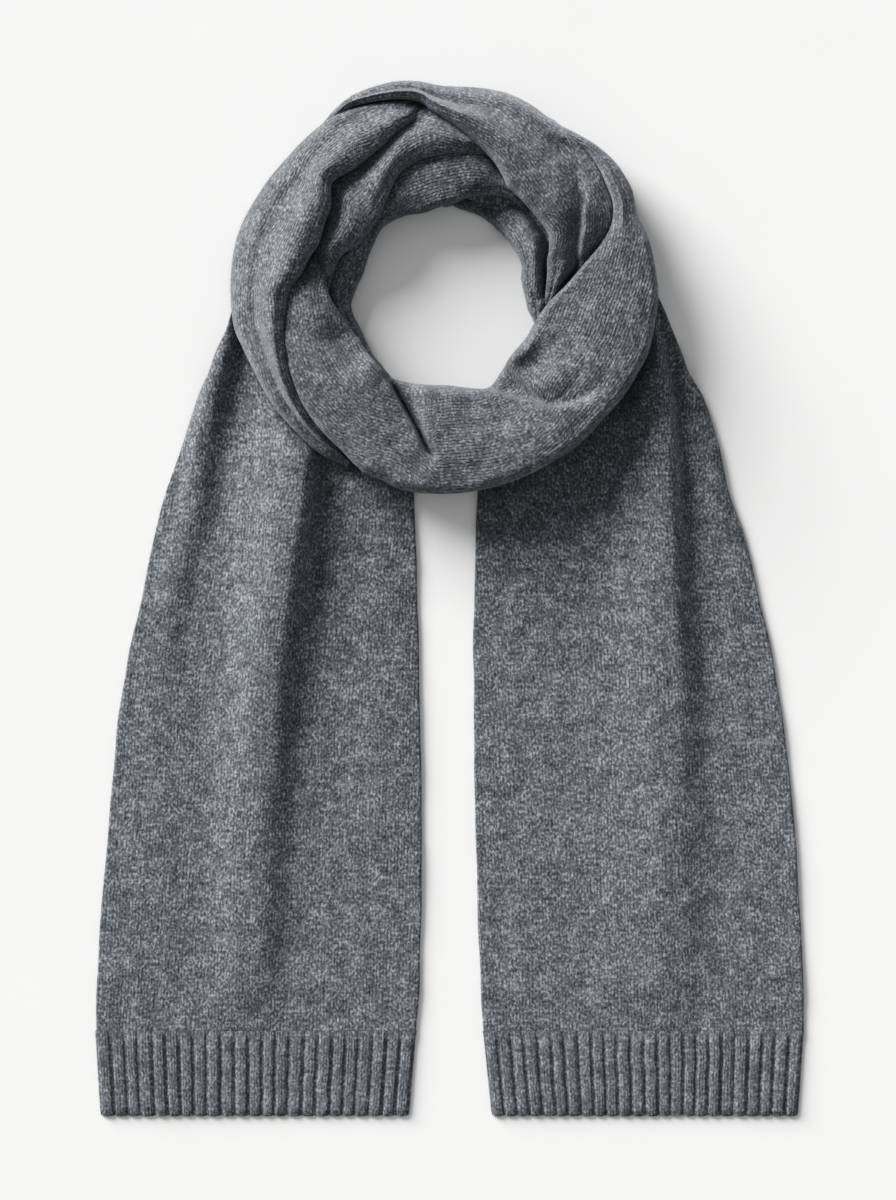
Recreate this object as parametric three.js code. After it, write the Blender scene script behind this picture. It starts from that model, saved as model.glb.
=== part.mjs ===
// A long knitted wool scarf, laid flat on a surface and wound once and a half round, so that its two
// ribbed ends hang straight down. Millimetres, +Z up, +Y towards the top of the loop, and the origin
// at the middle of the whole outline, on the surface.
import * as THREE from 'three';

// Driving sizes.
const CLOTH = 3.0;             // thickness of the knitted wall
const SEAM = 0.3;              // gap between two pieces that are knitted together
const CREVICE = 0.8;           // gap between two stretches of the loop that lie side by side
const CENTRE = { x: -2.8, y: 212.5 };   // middle of the neck hole
const STEP = 5;                // degrees between two sections of the loop
const BURIED = 15.0;           // height to which the stretches reach down between their neighbours
const HEM = -302.5;            // where the plain knit ends and the rib begins
const END = -362.2;            // lower edge of both ribs
const TAIL_TOP = 217;          // hidden upper end of both tails, under the loop

const WOOL = { color: 0x6b6f74, roughness: 0.95, metalness: 0.0 };

// A table of numbers: the names of its columns in one string, and its rows. Its first column rises.
function table(names, rows) {
  return { names: names.split(' '), rows };
}

// Interpolates one column of a table in its first column, smoothly and without overshoot.
function column({ names, rows }, name, at) {
  const key = names.indexOf(name);
  const xs = rows.map((row) => row[0]);
  const ys = rows.map((row) => row[key]);
  const last = xs.length - 1;
  if (at <= xs[0]) return ys[0];
  if (at >= xs[last]) return ys[last];
  let i = 0;
  while (at > xs[i + 1]) i += 1;
  const slope = (k) => (ys[k + 1] - ys[k]) / (xs[k + 1] - xs[k]);
  const tangent = (k) => {
    if (k === 0) return slope(0);
    if (k === last) return slope(last - 1);
    const before = slope(k - 1);
    const after = slope(k);
    return before * after <= 0 ? 0 : (2 * before * after) / (before + after);
  };
  const width = xs[i + 1] - xs[i];
  const u = (at - xs[i]) / width;
  const v = 1 - u;
  return ys[i] * (1 + 2 * u) * v * v + ys[i + 1] * (3 - 2 * u) * u * u
    + tangent(i) * width * u * v * v - tangent(i + 1) * width * v * u * u;
}

// Rises from 0 to 1 between two values, with level ends.
function ease(at, from, to) {
  const u = Math.min(1, Math.max(0, (at - from) / (to - from)));
  return u * u * (3 - 2 * u);
}

// A closed solid through loops of points, each running along the outside of a wall and back along
// its inside. Each loop is { flat, points }: its outline in the plane of the section and in space.
// The end faces join opposite points of a wall, or fill an outline that isn't one.
function solidThrough(loops, isWall = true) {
  const count = loops[0].points.length;
  const faces = [];
  for (let j = 0; j + 1 < loops.length; j += 1) {
    for (let i = 0; i < count; i += 1) {
      const a = j * count + i;
      const b = j * count + ((i + 1) % count);
      faces.push([a, b, b + count], [a, b + count, a + count]);
    }
  }
  const across = [];
  for (let i = 0; 2 * (i + 1) < count; i += 1) {
    across.push([i, i + 1, count - 2 - i], [i, count - 2 - i, count - 1 - i]);
  }
  const clockwise = THREE.ShapeUtils.isClockWise(loops[0].flat);
  [0, loops.length - 1].forEach((j) => {
    const ends = isWall ? across : THREE.ShapeUtils.triangulateShape(loops[j].flat, []);
    const turned = (j === 0) !== (isWall ? false : clockwise);
    for (const [a, b, c] of ends) {
      const face = [j * count + a, j * count + b, j * count + c];
      faces.push(turned ? face.reverse() : face);
    }
  });
  return facedOut(loops, faces);
}

// A geometry with its faces pointing out, from loops of points and triangles of their numbers.
function facedOut(loops, faces) {
  const geometry = new THREE.BufferGeometry();
  const positions = loops.flatMap((loop) => loop.points.flatMap((point) => [point.x, point.y, point.z]));
  geometry.setAttribute('position', new THREE.Float32BufferAttribute(positions, 3));
  geometry.setIndex(faces.flat());
  if (volume(geometry) < 0) geometry.setIndex(faces.flatMap(([a, b, c]) => [a, c, b]));
  geometry.computeVertexNormals();
  return geometry;
}

// Signed volume, which is negative when the faces point inwards.
function volume(geometry) {
  const position = geometry.getAttribute('position');
  const index = geometry.getIndex();
  const corner = [new THREE.Vector3(), new THREE.Vector3(), new THREE.Vector3()];
  let sum = 0;
  for (let i = 0; i < index.count; i += 3) {
    corner.forEach((point, k) => point.fromBufferAttribute(position, index.getX(i + k)));
    sum += corner[0].dot(corner[1].cross(corner[2])) / 6;
  }
  return sum;
}

function piece(name, geometry) {
  const mesh = new THREE.Mesh(geometry, new THREE.MeshStandardMaterial(WOOL));
  mesh.name = name;
  return mesh;
}

// Lines of the loop, seen from above. Angles turn from the right of the neck hole to its top.
const LINE = 'angle radius';
const LINES = {
  outline: table(LINE, [
    [-122, 138], [-110, 137.2], [-103, 140], [-90, 139.3], [-74, 138.6], [-60, 138.6],
    [-47, 140], [-40, 140], [-31, 142.5], [-22, 144.9], [-15, 147], [-8, 147], [0, 147.7], [6, 147],
    [15, 146.3], [22, 144.2], [30, 149.1], [37, 149.8], [45, 147.7], [51, 144.9], [60, 143.5],
    [67, 146.3], [74, 147.7], [90, 146.3], [98, 150.5], [105, 153.3], [114, 154], [120, 151.9],
    [128, 147.7], [136, 147.7], [150, 149.8], [165, 152.6], [180, 151.2], [188, 150.5], [195, 147],
    [203, 144.2], [213, 143.5], [223, 142.1], [229, 142.1], [239, 138.6]]),
  hole: table(LINE, [
    [-140, 66], [-127, 70.7], [-122, 68.6], [-90, 63], [-78, 66], [-65.5, 70.7], [-55, 66],
    [-42, 61.6], [-21, 63.7], [-8, 56.7], [11, 53.2], [23, 56.7], [37, 57.4], [53, 58.8], [68, 60.9],
    [90, 61.6], [104, 58.8], [119, 62.3], [133, 64.4], [145, 61.6], [164, 59.5], [176, 63],
    [187, 66.5], [203, 63.7], [219, 65.1]]),
  overLeft: table(LINE, [
    [-8, 67], [-1, 68.5], [5.5, 69.7], [13, 72], [18, 73.5], [23, 77.5], [31.5, 82],
    [41.5, 82], [50, 83], [57, 84.5], [60, 85.5], [64, 90], [71, 98], [76, 103], [82, 110],
    [89, 119], [94, 126], [98, 134.5], [103, 138.5], [109, 141.5], [116, 145], [123, 147.6],
    [128, 147.7]]),
  overRight: table(LINE, [
    [-21, 63.7], [-12, 66.5], [-5, 71], [5.5, 85.5], [13, 99.5], [18, 112.5], [23, 124.5],
    [29, 132], [35, 135], [41.5, 138], [50, 140], [58, 143.5]]),
  leftInner: table(LINE, [
    [94, 126], [105, 118.5], [115, 110], [126, 107], [135, 110], [143, 99.5], [150, 96.8],
    [158, 94.5], [165, 97.5], [172, 101], [178, 108.5], [186, 112.7], [193, 116.5], [202, 120.5],
    [211, 124], [219, 126.7], [228, 129], [236, 131.2], [245, 136.5], [250, 137.2]]),
  upperInner: table(LINE, [
    [71, 98], [82, 98], [93, 96], [102, 94], [111, 89], [122, 77], [136, 68.6], [149, 69],
    [158, 76], [165, 79], [180, 80.6]]),
  frontLeft: table(LINE, [
    [159, 94], [169, 86], [181, 80.5], [193, 73], [202, 69.5], [209, 67.2], [219, 67.6],
    [227, 68], [236, 70]]),
  innerEnd: table(LINE, [[57, 80.5], [67, 75.6], [79, 68], [84, 64], [90, 61.6]]),
};

function line(name, angle) {
  return column(LINES[name], 'radius', angle);
}

// Radius of the loop's outline in the direction of a point.
function outlineTowards(x, y) {
  const angle = THREE.MathUtils.radToDeg(Math.atan2(y - CENTRE.y, x - CENTRE.x));
  return line('outline', angle < LINES.outline.rows[0][0] ? angle + 360 : angle);
}

// The radius of a stretch's border at an angle: the first of its parts that starts below the angle
// names the line that it follows, and the turn that the line is read at.
function border(parts, angle) {
  const { along, turn = 0 } = parts.find(({ from }) => angle >= from);
  return line(along, angle + turn);
}

// Each stretch has a section at some angles: the height of its inner lower edge, its inner shoulder,
// its crown, its outer shoulder and its outer lower edge, and the radius of its rolled edges.
const SECTION = 'angle lowIn edgeIn crown edgeOut lowOut rollIn rollOut';
// Soft creases inside a stretch.
const CREASE = 'angle radius depth reach';
const EVERYWHERE = -400;    // an angle below every other

const STRETCHES = {
  loop_left: {
    from: 100, to: 240,
    inner: [{ from: EVERYWHERE, along: 'leftInner' }],
    outer: [{ from: 128, along: 'outline' }, { from: EVERYWHERE, along: 'overLeft' }],
    sections: table(SECTION, [
      [100, 15, 30, 32, 29, 15, 6, 5], [107, 15, 41, 41, 35, 15, 6, 6], [115, 15, 44, 43, 36, 14, 6, 6],
      [128, 15, 45.5, 43.5, 34, 2, 6, 13], [143, 15, 45.5, 43, 29, 0.5, 6, 16],
      [155, 15, 45.5, 42.5, 27.5, 0.5, 6, 16], [165, 15, 45, 42, 27, 0.5, 6, 16],
      [178, 15, 43.5, 41, 27.5, 3.6, 6, 15], [190, 15, 42, 40, 28, 8, 6, 14],
      [205, 15, 38.5, 37.5, 28, 9, 6, 12], [220, 15, 32, 32, 25, 9, 7, 9],
      [232, 13, 24, 25, 21, 9, 5, 6], [240, 9, 15, 16, 15, 9, 4, 4]]),
    creases: [],
  },
  loop_over: {
    from: 0, to: 120,
    inner: [{ from: EVERYWHERE, along: 'overLeft' }],
    outer: [{ from: 58, along: 'outline' }, { from: EVERYWHERE, along: 'overRight' }],
    sections: table(SECTION, [
      [0, 15, 29, 31, 27, 15, 4, 4], [6, 15, 34, 37, 31, 15, 5, 6], [14, 15, 38, 41, 35, 15, 6, 7],
      [23, 15, 42, 44, 37, 15, 7, 8], [35, 15, 44, 45, 36, 15, 8, 8], [48, 15, 45, 45, 34, 14, 8, 8],
      [58, 15, 45.5, 45, 36, 3, 8, 13], [76, 15, 45.5, 44, 34, 0.5, 8, 15],
      [90, 15, 45, 43, 32, 0.5, 8, 13], [98, 15, 42, 41, 32, 0.5, 7, 9],
      [108, 15, 35, 36, 30, 0.5, 6, 6], [115, 6, 22, 23, 19, 0.5, 4, 4], [120, 1, 11, 12, 10, 0.5, 3, 3]]),
    creases: [
      table(CREASE, [
        [4, 82, 3, 6], [12, 90, 6, 8], [20, 95, 8, 9], [30, 104, 7, 10], [40, 112, 4, 10],
        [50, 118, 0, 12]]),
    ],
  },
  loop_front: {
    from: -195, to: 50,
    inner: [{ from: -21, along: 'overRight' }, { from: -124, along: 'hole' },
      { from: EVERYWHERE, along: 'frontLeft', turn: 360 }],
    outer: [{ from: -115, along: 'outline' }, { from: EVERYWHERE, along: 'leftInner', turn: 360 }],
    sections: table(SECTION, [
      [-195, 15, 28, 29, 27, 15, 4, 4], [-188, 15, 33, 34, 32, 15, 5, 5], [-176, 15, 38.5, 40, 37, 15, 6, 5],
      [-165, 15, 41, 42, 38.5, 15, 6, 5], [-150, 15, 42, 42.5, 37.5, 15, 6, 6],
      [-132, 15, 43, 43.5, 36.5, 15, 7, 7], [-124, 7, 42, 44, 37, 15, 8, 8],
      [-116, 5, 41, 44, 39, 9, 9, 9], [-105, 5, 39, 43.5, 41, 9, 10, 9],
      [-90, 5, 38, 43, 43, 5, 10, 9], [-66, 5, 37, 42.5, 43, 9, 10, 9],
      [-42, 5, 36, 43, 43.5, 9, 9, 9], [-22, 8, 37, 43.5, 43.5, 9, 9, 9],
      [-14, 15, 37.5, 43.5, 43, 9, 8, 9], [-8, 15, 38.5, 43.5, 43, 9, 7, 9],
      [5, 15, 40.5, 43, 42.5, 3.6, 6, 9], [18, 15, 41, 43, 39, 0.5, 6, 9],
      [30, 15, 38, 39, 35, 0.5, 5, 7], [42, 15, 29, 30, 27, 0.5, 4, 5], [50, 1, 13, 14, 12, 0.5, 3, 3]]),
    creases: [
      table(CREASE, [
        [-126, 71, 9, 8], [-117, 76, 12, 10], [-110, 83, 12, 11], [-100.5, 98, 8, 10], [-95.5, 113, 0, 8]]),
      table(CREASE, [
        [-66, 72, 5, 9], [-56, 83, 9, 11], [-47, 98, 9, 12], [-36, 113, 5, 12], [-26, 122, 0, 12]]),
    ],
  },
  loop_upper: {
    from: 75, to: 170,
    inner: [{ from: EVERYWHERE, along: 'upperInner' }],
    outer: [{ from: 158, along: 'frontLeft' }, { from: 94, along: 'leftInner' },
      { from: EVERYWHERE, along: 'overLeft' }],
    sections: table(SECTION, [
      [75, 15, 27, 28, 26, 15, 4, 3], [82, 15, 36, 37, 31, 15, 6, 5], [94, 15, 41, 41.5, 33, 15, 6, 7],
      [112, 15, 41, 41.5, 32, 15, 6, 7], [132, 15, 39, 39.5, 29, 15, 6, 6], [150, 15, 33, 35, 27, 15, 6, 5],
      [170, 15, 20, 21, 19, 15, 2, 2]]),
    creases: [],
  },
  loop_inner: {
    from: 60, to: 205,
    inner: [{ from: 88, along: 'hole' }, { from: EVERYWHERE, along: 'innerEnd' }],
    outer: [{ from: 180, along: 'frontLeft' }, { from: 71, along: 'upperInner' },
      { from: EVERYWHERE, along: 'overLeft' }],
    sections: table(SECTION, [
      [60, 15, 23, 24, 23, 15, 3, 3], [67, 15, 26, 28, 26, 15, 6, 5], [78, 15, 33, 35, 30, 15, 7, 5],
      [90, 1, 33.5, 36, 32, 15, 8, 6], [111, 0.5, 31.5, 34.5, 31, 15, 8, 6], [126, 0.5, 28, 31, 28, 15, 6, 5],
      [139, 0.5, 24, 27, 24, 15, 3, 3], [150, 0.5, 21, 24, 21, 15, 3, 3], [165, 0.5, 17, 21, 19, 15, 6, 4],
      [187, 0.5, 17, 20, 19, 15, 4, 4], [205, 0.5, 18, 18, 18, 15, 2, 2]]),
    creases: [],
  },
  loop_right: {
    from: -15, to: 80,
    inner: [{ from: EVERYWHERE, along: 'hole' }],
    outer: [{ from: 57, along: 'innerEnd' }, { from: -2, along: 'overLeft' },
      { from: EVERYWHERE, along: 'overRight' }],
    sections: table(SECTION, [
      [-15, 3, 19, 19, 18, 15, 2, 2], [-8, 1, 23, 24, 22, 15, 4, 4], [8, 0.5, 27, 27, 20, 15, 6, 5],
      [23, 0.5, 28, 28, 20, 15, 7, 5], [41, 0.5, 24, 25, 18, 15, 6, 5], [60, 0.5, 19, 21, 19, 15, 5, 4],
      [80, 0.5, 18, 18, 18, 15, 2, 2]]),
    creases: [],
  },
};

// How far the creases lower a stretch at one place.
function creaseDepth(creases, angle, radius) {
  let depth = 0;
  for (const crease of creases) {
    const { rows } = crease;
    if (angle >= rows[0][0] && angle <= rows[rows.length - 1][0]) {
      const away = (radius - column(crease, 'radius', angle)) / column(crease, 'reach', angle);
      depth += column(crease, 'depth', angle) * Math.exp(-away * away);
    }
  }
  return depth;
}

// Shares that the rolled edges and the wall keep where a stretch is narrow.
const NARROW = { roll: 0.42, wall: 0.28, bend: 0.8 };
const SKIRT = 0.5;          // straight wall left under a rolled edge
const ROUND_STEPS = 3;      // faces on each rolled edge
const TOP_STEPS = 6;        // faces across the top between them

// One section of a stretch, as [radius, height] from its inner lower edge to its outer one, moved
// inwards by a thickness: the rolled edges keep their middles and the top sinks.
function section(name, angle, inward) {
  const { inner: innerParts, outer: outerParts, sections, creases } = STRETCHES[name];
  const inner = border(innerParts, angle) + CREVICE / 2;
  const outer = border(outerParts, angle) - CREVICE / 2;
  const value = (key) => column(sections, key, angle);
  const [lowIn, edgeIn, crown] = ['lowIn', 'edgeIn', 'crown'].map(value);
  const [lowOut, edgeOut] = ['lowOut', 'edgeOut'].map(value);
  const narrow = NARROW.roll * (outer - inner);
  const rollIn = Math.min(value('rollIn'), narrow, edgeIn - lowIn - SKIRT);
  const rollOut = Math.min(value('rollOut'), narrow, edgeOut - lowOut - SKIRT);
  const quarter = (i) => (i / ROUND_STEPS) * (Math.PI / 2);
  const points = [[inner + inward, lowIn]];
  for (let i = 0; i <= ROUND_STEPS; i += 1) {
    const round = rollIn - inward;
    const middle = [inner + rollIn, edgeIn - rollIn];
    points.push([middle[0] - round * Math.cos(quarter(i)), middle[1] + round * Math.sin(quarter(i))]);
  }
  const start = inner + rollIn;
  const end = outer - rollOut;
  for (let i = 1; i < TOP_STEPS; i += 1) {
    const u = i / TOP_STEPS;
    const radius = start + (end - start) * u;
    const shoulder = edgeIn + (edgeOut - edgeIn) * ease(u, 0, 1);
    const height = shoulder + (crown - (edgeIn + edgeOut) / 2) * Math.sin(Math.PI * u);
    points.push([radius, height - inward - creaseDepth(creases, angle, radius)]);
  }
  for (let i = ROUND_STEPS; i >= 0; i -= 1) {
    const round = rollOut - inward;
    const middle = [outer - rollOut, edgeOut - rollOut];
    points.push([middle[0] + round * Math.cos(quarter(i)), middle[1] + round * Math.sin(quarter(i))]);
  }
  points.push([outer - inward, lowOut]);
  return points;
}

// Angles of the sections: whole steps, and the two ends.
function stations(from, to) {
  const list = [from];
  for (let angle = Math.ceil((from + 1) / STEP) * STEP; angle <= to - 1; angle += STEP) list.push(angle);
  return [...list, to];
}

function around(radius, height, angle) {
  const turn = THREE.MathUtils.degToRad(angle);
  return new THREE.Vector3(CENTRE.x + radius * Math.cos(turn), CENTRE.y + radius * Math.sin(turn), height);
}

function loopAt(outline, angle) {
  return {
    flat: outline.map(([radius, height]) => new THREE.Vector2(radius, height)),
    points: outline.map(([radius, height]) => around(radius, height, angle)),
  };
}

// A stretch of the wound cloth: a wall over its arched section, hollow below.
function stretchSolid(name) {
  const { from, to, inner, outer, sections } = STRETCHES[name];
  return solidThrough(stations(from, to).map((angle) => {
    const width = border(outer, angle) - border(inner, angle) - CREVICE;
    const roll = Math.min(column(sections, 'rollIn', angle), column(sections, 'rollOut', angle));
    const wall = Math.min(CLOTH, NARROW.wall * width, NARROW.bend * roll);
    return loopAt([...section(name, angle, 0), ...section(name, angle, wall).reverse()], angle);
  }));
}

// The hidden layers: one rounded ring, on the surface at the top and on the tails below them.
const CORE = { inside: 8, outside: 14, top: BURIED - 0.5, rest: 0, above: CLOTH + 0.4, bevel: 4, step: 6 };

function coreSolid() {
  const loops = [];
  const wrap = (angle, lowest) => (angle < lowest ? angle + 360 : angle);
  for (let turn = 0; turn < 360; turn += CORE.step) {
    const angle = turn > 180 ? turn - 360 : turn;
    const inner = line('hole', wrap(angle, -140)) + CORE.inside;
    const outer = line('outline', wrap(angle, -122)) - CORE.outside;
    const low = CORE.above - (CORE.above - CORE.rest) * ease(angle, 8, 24) * ease(-angle, -172, -156);
    const { top, bevel } = CORE;
    const outline = [[inner, low], [inner, top - bevel], [inner + bevel, top], [outer - bevel, top],
      [outer, top - bevel], [outer, low]];
    loops.push(loopAt(outline, angle));
  }
  const count = loops[0].points.length;
  const faces = [];
  loops.forEach((loop, j) => {
    const next = (j + 1) % loops.length;
    for (let i = 0; i < count; i += 1) {
      const k = (i + 1) % count;
      faces.push([j * count + i, j * count + k, next * count + k]);
      faces.push([j * count + i, next * count + k, next * count + i]);
    }
  });
  return facedOut(loops, faces);
}

// The two hanging ends: where their edges are, and their folds, each with the place of its crest,
// its height, and how far it reaches to its left and to its right.
const EDGE = 'y left right';
const FOLD = 'y x height reachLeft reachRight';
const TAILS = {
  left: {
    edges: table(EDGE, [
      [-305, -248.6, -24], [-265, -247.5, -21], [-220, -245, -20.2], [-168, -240, -19.8],
      [-100, -234.5, -20.8], [-42, -226, -21.7], [0, -216.3, -22.8], [34.6, -210, -24],
      [69.6, -201, -25], [104.6, -189, -27.5], [141.6, -177, -33], [160, -168, -46],
      [175, -163, -60], [188, -157, -72], [205, -152, -82], [217, -146, -90]]),
    folds: [
      table(FOLD, [
        [-110, -206, 0, 12, 14], [-50, -202, 1.6, 12, 13], [0, -197, 3, 12, 13], [39, -188, 5, 12, 13],
        [75, -181, 6.5, 11, 12], [112, -175, 9, 10, 12], [150, -166, 11, 10, 11], [217, -152, 9, 10, 11]]),
      table(FOLD, [
        [-302, -141, 2, 24, 22], [-255, -138, 5.5, 25, 20], [-168, -134, 8.5, 25, 19],
        [-73, -127, 13, 25, 18], [0, -118, 18, 26, 16], [56, -109, 20, 28, 14], [97, -103, 20, 30, 12],
        [150, -98, 18, 29, 12], [217, -94, 14, 25, 12]]),
      table(FOLD, [
        [-240, -46, 0, 18, 20], [-120, -48, 1.6, 18, 20], [20, -52, 2.2, 18, 20], [110, -56, 2, 18, 20]]),
      table(FOLD, [[-290, -206, 0, 22, 20], [-190, -204, 1.6, 20, 20], [-60, -202, 0, 20, 20]]),
    ],
  },
  right: {
    edges: table(EDGE, [
      [-305, 23.4, 247.8], [-275, 21.7, 247.8], [-195, 18.9, 244], [-150, 17.5, 241], [-96, 16.8, 235],
      [-40, 16.1, 226], [-5, 16.8, 218], [40, 18.2, 208], [74, 19.6, 196], [110, 22, 188],
      [141.6, 31, 178], [160, 48, 167], [175, 62, 161.5], [188, 72, 156.5], [203, 79, 150.5],
      [217, 86, 143.5]]),
    folds: [
      table(FOLD, [
        [-302, 154, 1.5, 28, 20], [-250, 155, 4, 29, 19], [-157, 159, 5.5, 30, 17], [-73, 158.5, 8.5, 30, 15],
        [0, 155.5, 12.5, 30, 13], [56, 153.5, 15, 29, 11], [112, 152, 16, 26, 10], [150, 147.5, 15, 23, 9],
        [217, 130, 10, 15, 8]]),
      table(FOLD, [
        [-30, 205, 0, 14, 12], [30, 196, 1.5, 14, 11], [70, 188, 3.5, 13, 10], [112, 179, 5, 11, 9],
        [217, 150, 6, 9, 8]]),
      table(FOLD, [
        [-290, 128, 0, 26, 26], [-200, 130, 1.6, 26, 26], [-60, 124, 1.6, 26, 24], [20, 116, 0, 24, 22]]),
      table(FOLD, [[-20, 62, 0, 26, 26], [60, 52, 2.4, 26, 28], [120, 50, 4, 20, 28], [160, 62, 4, 14, 20]]),
    ],
  },
};

const TAIL_COLUMNS = 22;
const TAIL_ROWS = 21;
const CLOSER_UP = 0.85;        // rows lie closer together towards the loop
const SELVEDGE = { across: 0.012, thin: 1.6 };
const SETTLED = 1.0;           // a fold lower than this still rests on the surface all over
const FLATTEN = 20;            // the folds rise to their full height at this distance from the loop
const HEM_FADE = { share: 0.25, reach: 30 };   // what is left of them at the rib, and how far it reaches

// How high the folds of a tail lift it at one place.
function relief(folds, x, y) {
  let height = 0;
  for (const fold of folds) {
    if (y < fold.rows[0][0]) continue;
    const away = x - column(fold, 'x', y);
    const reach = column(fold, away < 0 ? 'reachLeft' : 'reachRight', y);
    height += column(fold, 'height', y) * Math.exp(-((away / reach) ** 2));
  }
  const distance = Math.hypot(x - CENTRE.x, y - CENTRE.y) - outlineTowards(x, y);
  const atHem = HEM_FADE.share + (1 - HEM_FADE.share) * ease(y, HEM, HEM + HEM_FADE.reach);
  return height * ease(distance, 0, FLATTEN) * atHem;
}

function tailSolid(side) {
  const { edges, folds } = TAILS[side];
  const loops = [];
  for (let j = 0; j <= TAIL_ROWS; j += 1) {
    const y = HEM + SEAM + (TAIL_TOP - HEM - SEAM) * (j / TAIL_ROWS) ** CLOSER_UP;
    const left = column(edges, 'left', y);
    const right = column(edges, 'right', y);
    const across = [0, SELVEDGE.across];
    for (let i = 1; i < TAIL_COLUMNS; i += 1) across.push(i / TAIL_COLUMNS);
    across.push(1 - SELVEDGE.across, 1);
    const top = across.map((share) => {
      const x = left + (right - left) * share;
      const atEdge = share === 0 || share === 1;
      const lift = relief(folds, x, y);
      return { x, low: Math.max(0, lift - SETTLED), high: lift + (atEdge ? SELVEDGE.thin : CLOTH) };
    });
    const outline = [...top.map((at) => [at.x, at.high]), ...top.map((at) => [at.x, at.low]).reverse()];
    loops.push({
      flat: outline.map(([x, z]) => new THREE.Vector2(x, z)),
      points: outline.map(([x, z]) => new THREE.Vector3(x, y, z)),
    });
  }
  return solidThrough(loops);
}

// Ribbed hems: raised columns with grooves between them over a plain underside.
const RIB = { crest: 4.2, groove: 2.0, edge: 1.4, start: 1.5, castOff: 2, thinned: 0.75 };
const RIB_PROFILE = [
  { at: 0, level: 'groove' }, { at: 0.24, level: 'groove' }, { at: 0.38, level: 'crest' },
  { at: 0.86, level: 'crest' }];
const RIBS = {
  left: { count: 23, top: [-248.2, -24.4], foot: [-244.6, -29.4] },
  right: { count: 24, top: [23.8, 247.4], foot: [29.8, 243.4] },
};

function ribSolid(side) {
  const { count, top, foot } = RIBS[side];
  const rows = [[HEM, 1], [HEM - RIB.start, 1], [END + RIB.castOff, 1], [END, RIB.thinned]];
  const loops = rows.map(([y, fullness]) => {
    const share = (HEM - y) / (HEM - END);
    const left = top[0] + (foot[0] - top[0]) * share;
    const right = top[1] + (foot[1] - top[1]) * share;
    const pitch = (right - left) / (count + RIB_PROFILE[1].at);
    const outline = [];
    for (let n = 0; n < count; n += 1) {
      for (const { at, level } of RIB_PROFILE) outline.push([left + (n + at) * pitch, RIB[level] * fullness]);
    }
    outline.push([left + count * pitch, RIB.groove * fullness], [right, RIB.edge], [right, 0], [left, 0]);
    return {
      flat: outline.map(([x, z]) => new THREE.Vector2(x, z)),
      points: outline.map(([x, z]) => new THREE.Vector3(x, y, z)),
    };
  });
  return solidThrough(loops, false);
}

const scarf = new THREE.Group();
for (const side of ['left', 'right']) {
  scarf.add(piece(`tail_${side}`, tailSolid(side)));
  scarf.add(piece(`rib_${side}`, ribSolid(side)));
}
scarf.add(piece('loop_core', coreSolid()));
for (const name of Object.keys(STRETCHES)) scarf.add(piece(name, stretchSolid(name)));

export default scarf;
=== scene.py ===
"""The looks of a heathered wool scarf, laid flat and wound once and a half round.

Every size is in millimetres and is turned into metres where a mesh is made. Angles run from
the right of the neck hole to its top, in degrees.
"""
import logging
import math
from dataclasses import dataclass, field
from enum import Enum
from typing import Dict, List, NamedTuple, Optional, Sequence, Tuple

import bpy
import numpy as np
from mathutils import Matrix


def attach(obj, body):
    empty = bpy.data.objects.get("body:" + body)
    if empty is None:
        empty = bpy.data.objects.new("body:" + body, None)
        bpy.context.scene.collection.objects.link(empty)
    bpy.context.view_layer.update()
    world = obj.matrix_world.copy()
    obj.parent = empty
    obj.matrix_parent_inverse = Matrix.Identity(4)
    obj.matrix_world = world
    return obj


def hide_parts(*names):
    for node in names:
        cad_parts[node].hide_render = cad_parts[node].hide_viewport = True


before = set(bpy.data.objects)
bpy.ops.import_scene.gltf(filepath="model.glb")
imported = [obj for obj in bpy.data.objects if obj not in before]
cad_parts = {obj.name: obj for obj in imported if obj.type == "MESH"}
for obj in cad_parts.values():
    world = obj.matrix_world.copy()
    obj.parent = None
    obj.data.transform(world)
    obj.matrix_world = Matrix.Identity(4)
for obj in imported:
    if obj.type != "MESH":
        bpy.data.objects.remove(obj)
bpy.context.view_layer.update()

Row = Tuple[float, ...]
Border = Tuple[Tuple[float, str, float], ...]

MM = 0.001
BODY = "root"
LOG = logging.getLogger("scarf")


class Side(Enum):
    """The two hanging ends, as the scarf is seen from above."""

    LEFT = "left"
    RIGHT = "right"


class Held(Enum):
    """How a stretch of the cloth is held."""

    LAID = "laid"
    FOLDED = "folded"


# Reading tables


def column(rows: Sequence[Row], key: int, at: np.ndarray) -> np.ndarray:
    """Interpolates one column of a table in its first column, smoothly and without overshoot.

    Args:
        rows: the table, with rising values in its first column.
        key: the column that is read.
        at: the places where it is read.

    Returns:
        The column's values at those places.
    """
    table = np.asarray(rows, float)
    x, y = table[:, 0], table[:, key]
    slope = np.diff(y) / np.diff(x)
    tangent = np.empty_like(y)
    tangent[0], tangent[-1] = slope[0], slope[-1]
    before, after = slope[:-1], slope[1:]
    total = np.where(before * after > 0, before + after, 1.0)
    tangent[1:-1] = np.where(before * after > 0, 2 * before * after / total, 0.0)
    at = np.clip(np.asarray(at, float), x[0], x[-1])
    i = np.clip(np.searchsorted(x, at, side="right") - 1, 0, len(x) - 2)
    width = x[i + 1] - x[i]
    u = (at - x[i]) / width
    v = 1 - u
    return (
        y[i] * (1 + 2 * u) * v * v
        + y[i + 1] * (3 - 2 * u) * u * u
        + tangent[i] * width * u * v * v
        - tangent[i + 1] * width * v * u * u
    )


def ease(at: np.ndarray, low: float, high: float) -> np.ndarray:
    """Rises from 0 to 1 between low and high, with level ends."""
    u = np.clip((np.asarray(at, float) - low) / (high - low), 0, 1)
    return u * u * (3 - 2 * u)


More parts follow.
